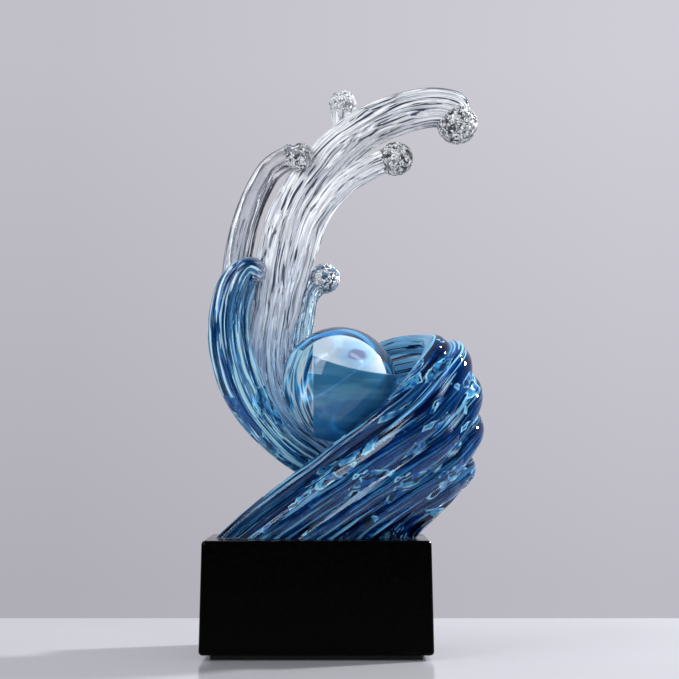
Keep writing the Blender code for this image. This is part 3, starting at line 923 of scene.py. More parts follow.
@dataclass(frozen=True)
class BallGlass:
    """The ball's resin: a pale cap over a teal body, with lines down one side. The cap's pale tints
    are painted light, the bright background seen through the ball's top, and the lines are painted
    bright and dark arcs of light bent along its left edge.

    Places are measured from the ball's middle, in metres.

    Attributes:
        name: The material's name.
        slant: How far the cap's edge drops for each metre to the right.
        bow: How strongly it bows upwards at its ends.
        edge: Its height.
        side: Where the painted arcs start, to the left.
        front: How far in front of the middle the cap ends.
        back: How far in front of it the body ends.
        heart: The middle of the cap, where it has a dark spot.
        soft: Half the width of the edges between the tints.
        rim: The tint behind the cap and the body.
        body: The body's tint, from its bottom to its top.
        currents: The tint of the body's slow waves.
        cap: The cap's tint, from its middle to its edge: painted light of the bright background
            seen through it.
        heart_tint: The tint of its spot.
        lines: Places from 0 to 1 through the arcs, with the tint there: painted bright and dark
            arcs of light bent along the ball's left edge.
    """

    name: str = "clear_ball_finish"
    slant: float = 0.3
    bow: float = 4.0
    edge: float = 0.012
    side: float = 0.0176
    front: float = 0.023
    back: float = 0.006
    heart: Point = (0.012, -0.033, 0.019)
    soft: float = 0.0006
    rim: Colour = (0.45, 0.68, 0.85)
    body: tuple[Colour, Colour] = ((0.02, 0.17, 0.42), (0.03, 0.14, 0.27))
    currents: Colour = (0.1, 0.3, 0.44)
    # Painted light: the cap's pale tints stand in for the bright background seen through the ball's
    # top.
    cap: tuple[Colour, Colour] = ((0.42, 0.68, 0.92), (0.72, 0.86, 0.97))
    heart_tint: Colour = (0.24, 0.28, 0.44)
    # Painted light: pale and white arcs with dark ones between, standing in for light bent along
    # the ball's left edge.
    lines: Tints = ((0.36, (0.01, 0.08, 0.22)), (0.44, (0.12, 0.5, 0.8)), (0.5, (0.5, 0.88, 1.0)),
                    (0.56, (0.95, 1.0, 1.0)), (0.62, (0.04, 0.2, 0.4)))

    def around(self, place: float) -> Span:
        """The range of a soft edge at this place."""
        return place - self.soft, place + self.soft

    def painted_cap_light(self, graph: Graph, spot: Socket, waves: Socket) -> Socket:
        """Works out the cap's colour, painted light of the bright background seen through the
        ball's top.

        Args:
            graph: The material's graph.
            spot: The place, from the ball's middle.
            waves: The noise that makes the tints waver.

        Returns:
            The colour.
        """
        heart = graph.add("ShaderNodeVectorMath", {0: spot, 1: self.heart}, operation="DISTANCE")
        waver = graph.between(waves, NOISE_RANGE, (-0.003, 0.003))
        away = graph.math("ADD", heart.outputs["Value"], waver)
        cap = graph.mix(graph.between(away, (0.006, 0.019), smooth=True), *self.cap)
        return graph.mix(graph.between(away, (0.0025, 0.006)), self.heart_tint, cap)

    def painted_edge_arcs(self, graph: Graph, x: Socket, y: Socket, z: Socket) -> Socket:
        """Works out the colour of the lines that run up the ball, painted bright and dark arcs of
        light bent along its left edge.

        Args:
            graph: The material's graph.
            x: The place to the right of the ball's middle.
            y: The place behind it.
            z: The place above it.

        Returns:
            The colour.
        """
        turn = graph.math("ARCTAN2", y, x)
        place = graph.add("ShaderNodeCombineXYZ", {0: turn, 1: graph.math("MULTIPLY", z, 5.0)})
        return graph.ramp(graph.cloud(place.outputs[0], 9.0, 1.0).outputs[0], self.lines)

    def material(self) -> bpy.types.Material:
        """Builds the ball's material.

        Returns:
            The material.
        """
        made, graph = new_material(self.name)
        low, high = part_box("ball")
        radius = (high.z - low.z) / 2
        spot = graph.add("ShaderNodeVectorMath", {0: graph.spot(), 1: (low + high) / 2},
                         operation="SUBTRACT").outputs[0]
        x, y, z = graph.split(spot)
        waves = graph.noise(80, 3, stretch=(0.3, 0.3, 1.8))
        body = graph.mix(graph.between(z, (-radius, 0.0)), *self.body)
        body = graph.mix(graph.between(waves, (0.45, 0.65), (0.0, 0.6)), body, self.currents)
        bow = graph.math("MULTIPLY", graph.math("MULTIPLY", x, x), self.bow)
        level = graph.math("MULTIPLY_ADD", x, self.slant, graph.math("SUBTRACT", z, bow))
        above = graph.between(level, self.around(self.edge), smooth=True)
        # The pale cap: painted light of the background seen through the ball's top.
        colour = graph.mix(above, body, self.painted_cap_light(graph, spot, waves))
        end = graph.between(above, (0.0, 1.0), (-self.back, -self.front))
        behind = graph.between(graph.math("SUBTRACT", y, end), self.around(0.0))
        colour = graph.mix(behind, colour, self.rim)
        # Down the left side: painted arcs of bent light.
        left = graph.between(x, self.around(-self.side), (1.0, 0.0))
        colour = graph.mix(left, colour, self.painted_edge_arcs(graph, x, y, z))
        clear = graph.math("MAXIMUM", graph.math("MULTIPLY", left, 0.4), behind)
        clear = graph.math("MAXIMUM", clear, graph.math("MULTIPLY", above, 0.15))
        graph.surface({
            "Base Color": colour, "IOR": RESIN_IOR,
            "Roughness": graph.between(waves, NOISE_RANGE, (0.0, 0.02)),
            "Transmission Weight": graph.between(clear, (0.0, 1.0), (0.25, 0.97)),
            "Specular IOR Level": 0.4})
        return made


@dataclass(frozen=True)
class FoamSkin:
    """Foam of the same resin, broken into bright and dark granules.

    Attributes:
        name: The material's name.
        dark: The tone of its dark granules and of its cracks.
        middle: The tone between them and the bright ones.
        bright: The tone of most granules.
    """

    name: str
    dark: Colour
    middle: Colour
    bright: Colour = (0.98, 0.99, 1.0)

    def material(self) -> bpy.types.Material:
        """Builds the foam's material.

        Returns:
            The material.
        """
        made, graph = new_material(self.name)
        spot = graph.spot()
        spot = graph.strayed(spot, (0.004,) * 3, graph.cloud(spot, 450))
        tone, from_seed, edge = graph.cells(spot, 520.0)
        colour = graph.ramp(tone, ((0.0, self.dark), (0.14, self.dark), (0.24, self.middle),
                                   (0.36, self.middle), (0.44, self.bright)))
        crack = graph.between(edge, (0.03, 0.1), (1.0, 0.0), smooth=True)
        graph.surface({
            "Base Color": graph.mix(crack, colour, self.dark), "IOR": RESIN_IOR,
            "Transmission Weight": graph.between(tone, (0.2, 0.9), (0.7, 0.1)),
            "Roughness": graph.between(tone, (0.0, 1.0), (0.02, 0.2)),
            "Normal": graph.bump(from_seed, -0.0006)})
        return made


@dataclass(frozen=True)
class Bond:
    """The clear adhesive in a seam, which light crosses without bending.

    Attributes:
        name: The material's name.
    """

    name: str = "bonded_seam"

    def material(self) -> bpy.types.Material:
        """Builds the seam's material.

        Returns:
            The material.
        """
        made, graph = new_material(self.name)
        haze = graph.between(graph.noise(300, 2), (0.2, 0.8), (0.0, 0.02))
        graph.surface({"Base Color": (*WHITE, 1), "Roughness": haze, "IOR": 1.0,
                       "Transmission Weight": 1.0})
        return made


@dataclass(frozen=True)
class Lacquer:
    """Polished lacquer with a faint orange peel.

    Attributes:
        name: The material's name.
        deep: Its darkest tone.
        dusty: Its tone where fine dust lies.
    """

    name: str = "black_lacquer_finish"
    deep: Colour = (0.0004, 0.0004, 0.0005)
    dusty: Colour = (0.0016, 0.0016, 0.0018)

    def material(self) -> bpy.types.Material:
        """Builds the lacquer's material.

        Returns:
            The material.
        """
        made, graph = new_material(self.name)
        dust = graph.between(graph.noise(420, 6), (0.3, 0.8))
        graph.surface({
            "Base Color": graph.ramp(dust, ((0.0, self.deep), (1.0, self.dusty))),
            "Roughness": graph.between(graph.noise(55, 5), (0.35, 0.7), (0.1, 0.2)),
            "Normal": graph.bump(graph.noise(230, 2), 0.00004), "Specular IOR Level": 0.05})
        return made


@dataclass(frozen=True)
class Metal:
    """Turned or plated metal, with marks round its upright axis.

    Attributes:
        name: The material's name.
        light: Its lighter tone.
        dark: Its darker tone.
    """

    name: str
    light: Colour
    dark: Colour

    def material(self) -> bpy.types.Material:
        """Builds the metal's material.

        Returns:
            The material.
        """
        made, graph = new_material(self.name)
        marks = graph.noise(300, 3, stretch=(1, 1, 12))
        graph.surface({
            "Base Color": graph.mix(marks, self.dark, self.light), "Metallic": 1.0,
            "Roughness": graph.between(marks, (0.2, 0.8), (0.25, 0.45)),
            "Normal": graph.bump(marks, 0.00002)})
        return made


@dataclass(frozen=True)
class FoamRubber:
    """Fine foam rubber.

    Attributes:
        name: The material's name.
        deep: The tone of its pores.
        skin: The tone between them.
    """

    name: str = "foam_rubber_finish"
    deep: Colour = (0.012, 0.012, 0.013)
    skin: Colour = (0.04, 0.04, 0.042)

    def material(self) -> bpy.types.Material:
        """Builds the rubber's material.

        Returns:
            The material.
        """
        made, graph = new_material(self.name)
        pores = graph.noise(1400, 4)
        graph.surface({
            "Base Color": graph.mix(pores, self.deep, self.skin),
            "Roughness": graph.between(pores, (0.2, 0.8), (0.75, 0.95)),
            "Normal": graph.bump(pores, 0.0002)})
        return made


# Painted shade: the dark outline along a clear strand's edges, standing in for the dark room that
# the resin bends into view there.
EDGE_SHADE = (0.22, 0.25, 0.33)
# Partly painted shade: the tint of clear resin's dark drawn lines, which also stand in for the dark
# streaks that refraction shows.
DARK_LINE_AND_SHADE = (0.03, 0.04, 0.08)
PALE_BLUE = (0.8, 0.95, 1.0)
GLINT = (0.95, 1.0, 1.0)
CLEAR = Resin(
    "clear_resin_finish", Slot.CLEAR,
    ((0, (0.25, 0.6, 0.9)), (60, (0.4, 0.72, 0.97)), (110, (0.6, 0.8, 1.0)),
     (150, (0.85, 0.93, 1.0)), (210, (0.98, 0.99, 1.0)), (320, WHITE)),
    across=((-1.0, EDGE_SHADE), (-0.93, WHITE), (0.93, WHITE), (1.0, EDGE_SHADE)),
    tones=((0.2, (0.88, 0.94, 1.0)), (0.45, WHITE), (0.7, (0.9, 0.92, 0.98))),
    dark_line=DARK_LINE_AND_SHADE, lines=760.0, bend=0.006, bands=0.3, milk=0.85, haze=0.5,
)
SMOKE = Resin(
    "rear_resin_finish", Slot.CLEAR,
    ((80, (0.5, 0.75, 0.97)), (150, (0.75, 0.85, 0.95)), (260, (0.9, 0.9, 0.92))),
    across=((-1.0, (0.3, 0.3, 0.32)), (-0.94, (0.02, 0.02, 0.03)), (-0.74, (0.04, 0.04, 0.05)),
            (-0.66, (0.9, 0.9, 0.92)), (0.93, WHITE), (1.0, EDGE_SHADE)),
    dark_line=DARK_LINE_AND_SHADE, lines=620.0, calm=0.2, milk=0.4, haze=0.15,
)
LIGHT_BLUE = Resin(
    "light_blue_resin_finish", Slot.LIGHT_BLUE,
    ((0, (0.4, 0.8, 0.95)), (90, (0.7, 0.9, 0.98)), (150, (0.85, 0.93, 1.0)),
     (185, (0.85, 0.93, 0.98))),
    # Across the curl: the white band near the outer edge is a painted highlight, and the dark tint
    # at its very edge a painted dark outline.
    across=((-1.0, (0.95, 0.98, 1.0)), (-0.5, (0.8, 0.93, 1.0)), (-0.1, (0.35, 0.7, 0.93)),
            (0.25, (0.06, 0.32, 0.64)), (0.66, (0.05, 0.27, 0.58)), (0.76, (0.35, 0.8, 0.97)),
            (0.84, GLINT), (0.94, GLINT), (0.98, (0.05, 0.2, 0.4))),
    tones=((0.1, (0.03, 0.2, 0.42)), (0.3, (0.2, 0.6, 0.92)), (0.5, (0.9, 1.0, 1.0)),
           (0.62, (0.1, 0.42, 0.75)), (0.8, (0.75, 0.95, 1.0))),
    dark_line=(0.01, 0.06, 0.15), pale_line=(0.75, 0.97, 1.0), fade=0.88, glow=0.45,
    clear=0.8, milk=0.7, shine=0.4, absorbs=(0.03, 0.64, 0.94), density=13,
)
SPRAY_BLUE = Resin(
    "spray_resin_finish", Slot.LIGHT_BLUE,
    ((100, (0.3, 0.65, 0.92)), (140, (0.6, 0.85, 1.0)), (190, (0.85, 0.95, 1.0))),
    dark_line=(0.03, 0.1, 0.22), pale_line=(0.9, 0.97, 1.0),
)
DEEP_BLUE = Resin(
    "deep_blue_resin_finish", Slot.DEEP_BLUE, ((0, PALE_BLUE), (140, PALE_BLUE)),
    # Across the swirl's strands: the paler and darker bands are painted light and painted shade on
    # each strand's rounded face, and the white outer edge is a painted highlight.
    across=((-1.0, (0.15, 0.25, 0.35)), (-0.6, (0.8, 0.85, 0.9)), (0.1, (0.55, 0.65, 0.7)),
            (0.6, (0.12, 0.16, 0.24)), (0.78, (0.25, 0.4, 0.5)), (0.88, WHITE)),
    # Painted shade: the foot darkens, standing in for the black plinth seen through the resin.
    along=((0.0, (0.12, 0.12, 0.13)), (0.08, (0.45, 0.45, 0.45)), (0.17, WHITE)),
    tones=((0.05, (0.005, 0.03, 0.12)), (0.25, (0.003, 0.05, 0.24)), (0.42, (0.01, 0.18, 0.5)),
           (0.55, (0.003, 0.05, 0.24)), (0.66, (0.05, 0.4, 0.84)), (0.74, (0.002, 0.02, 0.1)),
           (0.9, (0.006, 0.1, 0.38))),
    dark_line=(0.01, 0.03, 0.07), pale_line=(0.3, 0.68, 0.97), within=0.8, calm=0.25, glow=0.5,
    clear=0.74, milk=0.5, shine=0.12, absorbs=(0.02, 0.54, 0.86), density=24,
)
CLEAR_FOAM = FoamSkin("clear_foam_finish", (0.03, 0.032, 0.04), (0.55, 0.57, 0.6))
BRIGHT_FOAM = FoamSkin("bright_foam_finish", (0.3, 0.31, 0.34), (0.85, 0.86, 0.9))
BLUE_FOAM = FoamSkin("blue_foam_finish", (0.02, 0.07, 0.14), (0.3, 0.55, 0.75))


@dataclass
class Casting:
    """One cast resin piece of the wave.

    Attributes:
        node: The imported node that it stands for.
        strands: Its bundles of ribs, which are fused.
        finish: Its resin.
        foam_finish: The finish of its foam knobs.
        clear_of: The strands of its neighbours that it keeps a gap to.
    """

    node: str
    strands: list[Strand]
    finish: Resin
    foam_finish: FoamSkin = CLEAR_FOAM
    clear_of: list[Strand] = field(default_factory=list)

    def build(self) -> bpy.types.Object:
        """Fuses the strands and their foam, and cuts the casting clear of its neighbours.

        Returns:
            The casting, with its skin smooth between its grooves.
        """
        body = self.strands[0].mesh(f"{self.node}_casting")
        for strand in self.strands[1:]:
            combine(body, strand.mesh("strand"), "UNION")
        for strand in self.strands:
            if strand.foam:
                combine(body, strand.foam.mesh(strand.tip(), "foam", 0), "UNION")
        for strand in self.clear_of:
            combine(body, strand.mesh("clearance", RESIN_GAP), "DIFFERENCE")
            if strand.foam:
                foam = strand.foam.mesh(strand.tip(), "clearance", RESIN_GAP)
                combine(body, foam, "DIFFERENCE")
        combine(body, Ball().mesh("seat", RESIN_GAP), "DIFFERENCE")
        combine(body, slab_below_foot(), "DIFFERENCE")
        main_skin(body)
        body.data.shade_smooth()
        body.data.set_sharp_from_angle(angle=CREASE)
        return body

    def dress(self, body: bpy.types.Object) -> None:
        """Gives the resin its finish and the foam its own.

        Args:
            body: The casting.
        """
        body.data.materials.clear()
        body.data.materials.append(self.finish.material())
        for strand in self.strands:
            foam = strand.foam
            if not foam:
                continue
            body.data.materials.append(self.foam_finish.material())
            slot = len(body.data.materials) - 1
            centre = Vector(foam.centre(strand.tip()))
            low = (foam.radius - foam.relief * foam.SKIN) * MM
            high = (foam.radius + foam.relief) * MM
            for face in body.data.polygons:
                if low < (face.center - centre).length < high:
                    face.material_index = slot
                    face.use_smooth = False

    def place(self) -> bpy.types.Object:
        """Builds and dresses the casting, and lets it stand for its node.

        Returns:
            The casting.
        """
        body = self.build()
        self.dress(body)
        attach(body, ROOT)
        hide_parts(self.node)
        return body


@dataclass
class Ball:
    """The clear ball in the swirl's bowl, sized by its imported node.

    Attributes:
        segments: Facets round it.
    """

    segments: int = 128

    def mesh(self, name: str, grow: float = 0.0) -> bpy.types.Object:
        """Builds the ball, or the seat that it needs.

        Args:
            name: The name of the new object.
            grow: How much larger to make its radius.

        Returns:
            The closed mesh, in place.
        """
        low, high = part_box("ball")
        bm = bmesh.new()
        bmesh.ops.create_uvsphere(bm, u_segments=self.segments, v_segments=self.segments // 2,
                                  radius=(high.z - low.z) / 2 + grow)
        bmesh.ops.translate(bm, verts=bm.verts, vec=(low + high) / 2)
        return object_from(bm, name)

    def place(self) -> bpy.types.Object:
        """Builds and dresses the ball, and lets it stand for its node.

        Returns:
            The ball.
        """
        body = self.mesh("clear_ball")
        body.data.shade_smooth()
        body.data.materials.append(BallGlass().material())
        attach(body, ROOT)
        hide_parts("ball")
        return body


def slab_below_foot() -> bpy.types.Object:
    """Builds a block that reaches up to just above the plinth.

    Returns:
        The closed mesh, in place.
    """
    reach = 1.0
    bm = bmesh.new()
    bmesh.ops.create_cube(bm, size=reach)
    bmesh.ops.translate(bm, verts=bm.verts, vec=(0, 0, PLINTH_TOP + FOOT_GAP - reach / 2))
    return object_from(bm, "below_foot")


HEART = Strand(
    line=[(4, -3, -8), (13, -2, 8), (27, 0, 22), (42, 2, 38), (54, 4, 58), (62, 6, 80)],
    widths=[(0, 64), (0.3, 55), (0.6, 49), (1, 34)],
    depths=[(0, 25), (0.3, 28), (0.6, 36), (1, 36)],
    ribs=[36] * 10, groove=0.07, twist=40, rings=50, facing=Facing.LEVEL, fullness=0.8,
)
CREST = Strand(
    line=[(50, 22, -16), (47, 32, 8), (34, 38, 34), (12, 37, 54), (-13, 28, 72), (-31, 17, 96),
          (-36, 8, 128), (-31, 2, 160), (-26, 0, 192), (-17, 0, 224), (4, 0, 257),
          (34, 0, 283), (68, 0, 296), (92, -1, 296), (104, -1, 285)],
    widths=[(0, 17), (0.2, 23), (0.42, 21), (0.6, 17), (0.75, 15.5), (0.93, 14), (1, 6)],
    depths=[(0, 12), (0.2, 15), (0.45, 15), (0.7, 13), (0.93, 13), (1, 8)],
    ribs=[48, 16, 30, 26, 32, 20, 18, 14, 11, 17, 9, 14, 20, 8, 12, 17, 10, 15, 23],
    groove=0.15, start=-30, twist=25, rings=240, step=2, foam=Foam(14, (-7, 0, 1)),
)
CURL = Strand(
    line=[(40, 20, 24), (18, 20, 37), (-6, 10, 51), (-26, -1, 66), (-44, -9, 88),
          (-56, -13, 116), (-60, -14, 144), (-56, -14, 168), (-47, -14, 183), (-36, -14, 178)],
    widths=[(0, 10), (0.3, 12), (0.55, 16), (0.78, 14.5), (0.92, 8.5), (1, 7)],
    depths=[(0, 9), (0.4, 11), (0.8, 11), (1, 9)],
    ribs=[34, 30, 34, 30, 30, 30, 16, 11, 20, 9, 18, 24, 12, 20, 14, 28],
    groove=0.15, start=-20, twist=25, rings=180, step=2, round_tip=True,
)
REAR_PLUME = Strand(
    line=[(-12, 30, 82), (-42, 26, 106), (-56, 22, 134), (-59, 22, 166), (-56, 24, 200),
          (-48, 19, 229), (-34, 8, 254), (-17, -8, 263)],
    widths=[(0, 9), (0.5, 10), (1, 8.5)],
    depths=[(0, 9), (0.6, 9), (1, 8)],
    ribs=[80, 60, 50, 60, 40, 30, 40],
    groove=0.06, start=-60, twist=30, rings=110, foam=Foam(9.5, (5, -4, -2)),
)
DROPLET_PLUME = Strand(
    line=[(-24, 5, 132), (-18, -6, 156), (-13, -11, 178), (-8, -12, 198), (-1, -13, 218),
          (12, -14, 236), (30, -15, 250), (50, -16, 259)],
    widths=[(0, 6), (0.5, 9), (0.8, 8.5), (1, 8.5)],
    depths=[(0, 6), (0.5, 8), (1, 8)],
    ribs=[40, 35, 40, 45, 40, 30, 25, 35, 30, 40],
    groove=0.08, twist=30, rings=110, foam=Foam(11.5, (4, 0, 0)),
)
SPRAY_PLUME = Strand(
    line=[(-16, 12, 112), (-12, 4, 132), (-9, 0, 150), (-6, -1, 166), (2, -2, 176)],
    widths=[(0, 6.5), (0.6, 7), (1, 8)],
    depths=[(0, 6.5), (1, 7.5)],
    ribs=[40, 50, 45, 40, 30, 35, 25, 45, 50],
    groove=0.1, twist=30, rings=70, foam=Foam(10.5, (3, 0, 2)),
)
TOP_DROPLET = Strand(
    line=[(22, 13, 272), (17, 18, 287), (16, 20, 299)],
    widths=[(0, 5), (0.6, 6), (1, 8)],
    depths=[(0, 5), (1, 7.5)],
    ribs=[90] * 4, groove=0.04, rings=40, step=6, foam=Foam(9.5, (1.5, 0, 5.4)),
)


@dataclass
class Swirl:
    """The swirl: strands side by side between its rim, its waist and its heel.

    Attributes:
        rim: The line of the first strand.
        waist: The line half way.
        heel: The line of the last strand.
        half_widths: The strands' half-widths, from rim to heel.
        taper: How the strands thin along their way.
        thickness: The half-depth of a strand at most.
        roundness: The half-depth of a narrow strand, as a share of its half-width.
    """

    rim: list[Point] = field(default_factory=lambda: [
        (-78, -3, -16), (-43, -11, 15), (7, -26, 52), (42, -37, 79), (65, -28, 102),
        (82, -5, 127), (76, 25, 134), (46, 45, 130), (8, 41, 104), (-10, 29, 84)])
    waist: list[Point] = field(default_factory=lambda: [
        (-30, -17, -20), (2, -27, 4), (35, -35, 28), (71, -37, 54), (91, -24, 76),
        (103, -2, 97), (95, 30, 107), (52, 45, 98), (20, 41, 77), (2, 32, 62)])
    heel: list[Point] = field(default_factory=lambda: [
        (38, 2, -24), (58, -8, 6), (70, -20, 21), (82, -20, 33), (92, -9, 43),
        (98, 6, 48), (88, 31, 58), (60, 40, 58), (32, 35, 47), (14, 26, 38)])
    half_widths: tuple[float, ...] = (7.5, 15, 11.5, 12, 12.5)
    taper: Stops = field(default_factory=lambda: [
        (0, 0.85), (0.25, 1.0), (0.5, 1.05), (0.7, 0.95), (1, 0.8)])
    thickness: float = 10.8
    roundness: float = 1.2

    def strand(self, index: int) -> Strand:
        """Lays out one strand.

        Args:
            index: Its place, from 0 at the rim.

        Returns:
            The strand.
        """
        share = index / (len(self.half_widths) - 1)
        half = self.half_widths[index]
        weights = (2 * (share - 0.5) * (share - 1), 4 * share * (1 - share),
                   2 * share * (share - 0.5))
        line = sum(w * np.array(guide, float)
                   for w, guide in zip(weights, (self.rim, self.waist, self.heel)))
        depth = min(self.thickness, half * self.roundness)
        return Strand(
            line=line.tolist(),
            widths=[(t, half * k) for t, k in self.taper],
            depths=[(t, depth * k) for t, k in self.taper],
            ribs=[100, 35, 65, 60, 65, 35], groove=0.07, start=220, twist=0, wander=0.12,
            streaks=0.03, rings=140, facing=Facing.OUTWARD,
        )

    def strands(self) -> list[Strand]:
        """All the strands, and the heart that they are fused to."""
        return [*(self.strand(i) for i in range(len(self.half_widths))), HEART]


@dataclass
class Base:
    """The plinth with its pad and fixings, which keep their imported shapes.

    Attributes:
        steel: The finish of the screws and washers.
        brass: The finish of the threaded inserts.
        lacquer: The finish of the plinth.
        rubber: The finish of the pad.
        sides: Where the fixings stand.
    """

    steel: Metal = Metal("zinc_steel_finish", (0.62, 0.62, 0.63), (0.42, 0.42, 0.44))
    brass: Metal = Metal("brass_finish", (0.8, 0.6, 0.28), (0.55, 0.38, 0.15))
    lacquer: Lacquer = Lacquer()
    rubber: FoamRubber = FoamRubber()
    sides: tuple[str, str] = ("left", "right")

    def place(self) -> None:
        """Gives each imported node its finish."""
        steel, brass = self.steel.material(), self.brass.material()
        looks = {
            "plinth": (self.lacquer.material(), Slot.LACQUER),
            "base_pad": (self.rubber.material(), Slot.FOAM_RUBBER),
        }
        for side in self.sides:
            looks[f"screw_{side}"] = (steel, Slot.STEEL)
            looks[f"washer_{side}"] = (steel, Slot.STEEL)
            looks[f"threaded_insert_{side}"] = (brass, Slot.BRASS)
        for node, (look, slot) in looks.items():
            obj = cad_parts[node]
            for holder in obj.material_slots:
                holder.material = look
            LOG.info("dressed %s", node)


@dataclass(frozen=True)
class SoftBox:
    """One square soft box.

    Attributes:
        name: Its name.
        at: Where it hangs, in metres.
        aim: The point that it faces.
        side: How long its sides are.
        power: Its power in watts.
        colour: Its colour.
    """

    name: str
    at: Point
    aim: Point
    side: float
    power: float
    colour: Colour = WHITE

    def hang(self) -> None:
        """Hangs the soft box in the scene."""
        data = bpy.data.lights.new(self.name, "AREA")
        data.size = self.side
        data.energy = self.power
        data.color = self.colour
        obj = add_object(self.name, data)
        obj.location = self.at
        facing = Vector(self.aim) - Vector(self.at)
        obj.rotation_euler = facing.to_track_quat("-Z", "Y").to_euler()


@dataclass
class Studio:
    """The camera, the table and the light.

    THROUGH and MIRRORED say what the resin shows of the room, where one looks through it and
    where it mirrors, by the angle from straight behind it as a share of a half turn. Pairs of
    numbers are where a part of the room starts and where it is full, in a ray's direction.

    Attributes:
        focal_px: The lens's focal length in pixels of the picture.
        picture: The picture's width in pixels.
        horizon: The pixel row that is level with the camera.
        eye: Where the camera stands, in metres.
        table: The table top's length, depth and thickness, in metres.
        table_back: How far its back edge is behind the sculpture's middle.
        key: The lamp on the right, behind the sculpture.
        fill: The weak one in front on the left.
        bounces: How often light passes or meets resin before it is given up.
    """

    STONE = (0.36, 0.365, 0.39)
    VEIN = (0.39, 0.395, 0.42)
    LOW_SKY = (0.505, 0.494, 0.55)
    HIGH_SKY = (0.625, 0.61, 0.67)
    BLACK = (0.0, 0.0, 0.0)
    SKY_RISE = (-0.08, 0.22)
    SKY_WIDTH = (-0.16, 0.17)
    LEFT_SHADE = 0.15
    PALE_WALL = (0.62, 0.61, 0.66)
    DIM_WALL = (0.05, 0.05, 0.06)
    DARK_WALL = (0.03, 0.03, 0.04)
    BACKDROP = (0.64, 0.63, 0.68)
    LAMP = (2.2, 2.2, 2.3)
    BROAD_LAMP = (2.4, 2.4, 2.4)
    STRIP = (5.6, 6.8, 8.0)
    STRIP_EDGE = (0.5, 0.6, 0.7)
    THROUGH = ((0.0, BACKDROP), (0.085, BACKDROP), (0.105, DIM_WALL), (0.135, DIM_WALL),
               (0.15, LAMP), (0.175, LAMP), (0.2, PALE_WALL), (0.29, PALE_WALL),
               (0.31, DARK_WALL), (0.38, DARK_WALL), (0.4, BROAD_LAMP), (0.47, BROAD_LAMP),
               (0.5, DIM_WALL))
    MIRRORED = ((0.0, (0.55, 0.54, 0.6)), (0.35, (0.4, 0.4, 0.45)), (0.48, DIM_WALL),
                (0.56, DIM_WALL), (0.6, STRIP_EDGE), (0.62, STRIP), (0.645, STRIP),
                (0.665, STRIP_EDGE), (0.72, (0.02, 0.02, 0.02)))
    HIDDEN = (0.03, 0.03, 0.03)
    STRIP_AT = 0.5
    STRIP_ENDS = (0.16, 0.2)
    TO_FRONT = (0.0, -0.1)
    UPWARDS = (0.0, 0.15)
    FROM_BEHIND = (0.7, 0.5)
    ROOM = (0.85, 0.85, 0.88)

    focal_px: float = 1697.5
    picture: float = 679
    horizon: float = 447
    eye: Point = (0.0152, -1.1707, 0.140)
    table: Point = (3.4, 2.6, 0.03)
    table_back: float = 0.235
    key: SoftBox = SoftBox("key", (1.15, 0.45, 0.95), (0, 0, 0.15), 0.15, 44)
    fill: SoftBox = SoftBox("fill", (-1.1, -0.9, 1.1), (0, 0, 0.2), 0.9, 13, (0.93, 0.96, 1))
    bounces: int = 24

    def set_camera(self) -> None:
        """Sets the camera where the photographer stood."""
        data = bpy.data.cameras.new("camera")
        data.sensor_width = 36
        data.lens = self.focal_px / self.picture * data.sensor_width
        obj = add_object("camera", data)
        obj.location = self.eye
        up = math.atan2(self.horizon - self.picture / 2, self.focal_px)
        obj.rotation_euler = (math.pi / 2 + up, 0, 0)
        bpy.context.scene.camera = obj

    def lay_table(self) -> None:
        """Lays the pale polished table top."""
        size = Vector(self.table)
        bm = bmesh.new()
        bmesh.ops.create_cube(bm, size=1)
        bmesh.ops.scale(bm, verts=bm.verts, vec=size)
        bmesh.ops.bevel(bm, geom=bm.edges, offset=0.003, segments=3, profile=0.5,
                        affect="EDGES")
        middle = Vector((0, self.table_back - size.y / 2, -size.z / 2))
        bmesh.ops.translate(bm, verts=bm.verts, vec=middle)
        top = object_from(bm, "table")
        made, graph = new_material("polished_stone")
        veins = graph.between(graph.noise(3.2, 8), (0.35, 0.65))
        graph.surface({
            "Base Color": graph.ramp(veins, ((0.0, self.STONE), (1.0, self.VEIN))),
            "Roughness": 0.16})
        top.data.materials.append(made)

    def backdrop(self, graph: Graph, x: Socket, z: Socket) -> Socket:
        """Makes the pale background, brighter upwards and to the right.

        Args:
            graph: The world's graph.
            x: How far to the right a ray runs.
            z: How far upwards it runs.

        Returns:
            The background's colour.
        """
        pale = graph.mix(graph.between(z, self.SKY_RISE), self.LOW_SKY, self.HIGH_SKY)
        shade = graph.between(x, self.SKY_WIDTH, (self.LEFT_SHADE, 0.0))
        return graph.mix(shade, pale, self.BLACK)

    def mirrored(self, graph: Graph, way: list[Socket], bent: Socket) -> Socket:
        """Makes the room that the resin mirrors, without its lower and outer parts.

        Args:
            graph: The world's graph.
            way: The ray's direction.
            bent: Its angle from straight behind, as a share of a half turn.

        Returns:
            The room's colour.
        """
        x, y, z = way
        beside = graph.math("SUBTRACT", graph.math("ABSOLUTE", x), self.STRIP_AT)
        beside = graph.between(graph.math("ABSOLUTE", beside), self.STRIP_ENDS)
        beside = graph.math("MULTIPLY", beside, graph.between(y, self.TO_FRONT))
        low = graph.math("MULTIPLY", graph.between(z, self.UPWARDS, (1.0, 0.0)),
                         graph.between(y, self.FROM_BEHIND))
        hidden = graph.math("MAXIMUM", low, beside)
        return graph.mix(hidden, graph.ramp(bent, self.MIRRORED), self.HIDDEN)

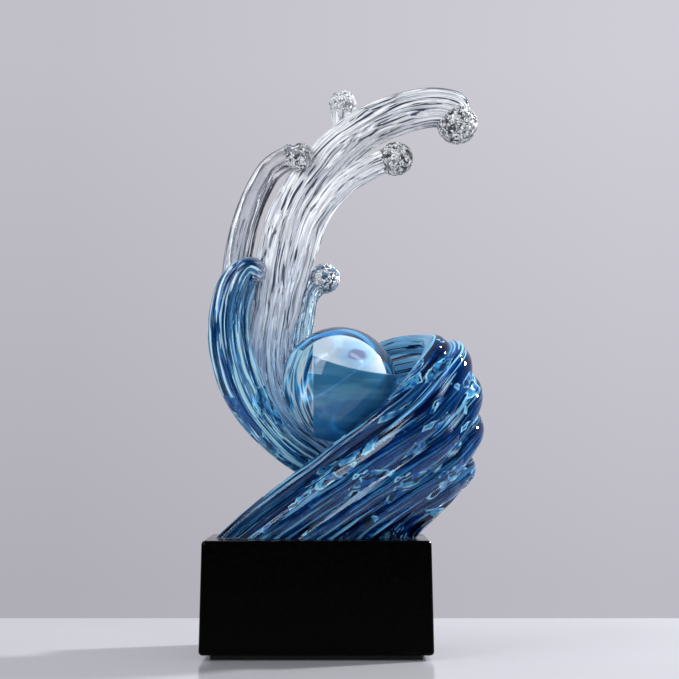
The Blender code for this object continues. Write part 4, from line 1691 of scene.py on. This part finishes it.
    def surround(self) -> None:
        """Makes the background, and a room with darker parts that the resin can show."""
        world = bpy.data.worlds.new("studio")
        world.use_nodes = True
        bpy.context.scene.world = world
        graph = Graph(world.node_tree)
        ray = graph.add("ShaderNodeLightPath").outputs
        way = graph.split(graph.add("ShaderNodeTexCoord").outputs["Generated"])
        bent = graph.math("DIVIDE", graph.math("ARCCOSINE", way[1]), math.pi)
        colour = graph.mix(ray["Is Glossy Ray"], self.ROOM, self.mirrored(graph, way, bent))
        colour = graph.mix(ray["Is Transmission Ray"], colour, graph.ramp(bent, self.THROUGH))
        colour = graph.mix(ray["Is Camera Ray"], colour, self.backdrop(graph, way[0], way[2]))
        shine = graph.add("ShaderNodeBackground", {"Color": colour, "Strength": 1.0})
        graph.add("ShaderNodeOutputWorld", {"Surface": shine.outputs[0]})

    def place(self) -> None:
        """Sets up the whole studio."""
        self.set_camera()
        self.lay_table()
        self.key.hang()
        self.fill.hang()
        self.surround()
        scene = bpy.context.scene
        scene.view_settings.view_transform = "Standard"
        scene.cycles.max_bounces = self.bounces
        scene.cycles.transmission_bounces = self.bounces
        scene.cycles.glossy_bounces = self.bounces // 2


def bond_seams(pieces: list[bpy.types.Object], reach: float = 0.8 * MM) -> None:
    """Gives the seam's finish to every face that has another resin piece right behind it.

    Args:
        pieces: The resin pieces.
        reach: How far out from a face another piece's inside counts.
    """
    look = Bond().material()
    skins = {piece: BVHTree.FromPolygons([v.co for v in piece.data.vertices],
                                         [f.vertices for f in piece.data.polygons])
             for piece in pieces}
    for piece in pieces:
        piece.data.materials.append(look)
        slot = len(piece.data.materials) - 1
        others = [skin for other, skin in skins.items() if other is not piece]
        for face in piece.data.polygons:
            spot = face.center + face.normal * reach
            for skin in others:
                near, normal, _, _ = skin.find_nearest(spot, 2 * reach)
                if near is not None and (spot - near).dot(normal) < 0:
                    face.material_index = slot
                    break


def main() -> None:
    """Builds the studio and every piece, in order."""
    logging.basicConfig(level=logging.INFO, format="%(message)s")
    Studio().place()
    Base().place()
    resins = [Ball().place()]
    castings = [
        Casting("swirl", Swirl().strands(), DEEP_BLUE, clear_of=[CREST, CURL, REAR_PLUME]),
        Casting("crest", [CREST], CLEAR),
        Casting("curl", [CURL], LIGHT_BLUE, clear_of=[CREST]),
        Casting("rear_plume", [REAR_PLUME], SMOKE, clear_of=[CREST, CURL]),
        Casting("droplet_plume", [DROPLET_PLUME], CLEAR, clear_of=[CREST]),
        Casting("spray_plume", [SPRAY_PLUME], SPRAY_BLUE, BLUE_FOAM,
                clear_of=[CREST, DROPLET_PLUME]),
        Casting("top_droplet", [TOP_DROPLET], CLEAR, BRIGHT_FOAM, clear_of=[CREST]),
    ]
    for casting in castings:
        piece = casting.place()
        resins.append(piece)
        LOG.info("built %s with %d faces", piece.name, len(piece.data.polygons))
    bond_seams(resins)


if __name__ == "__main__":
    main()
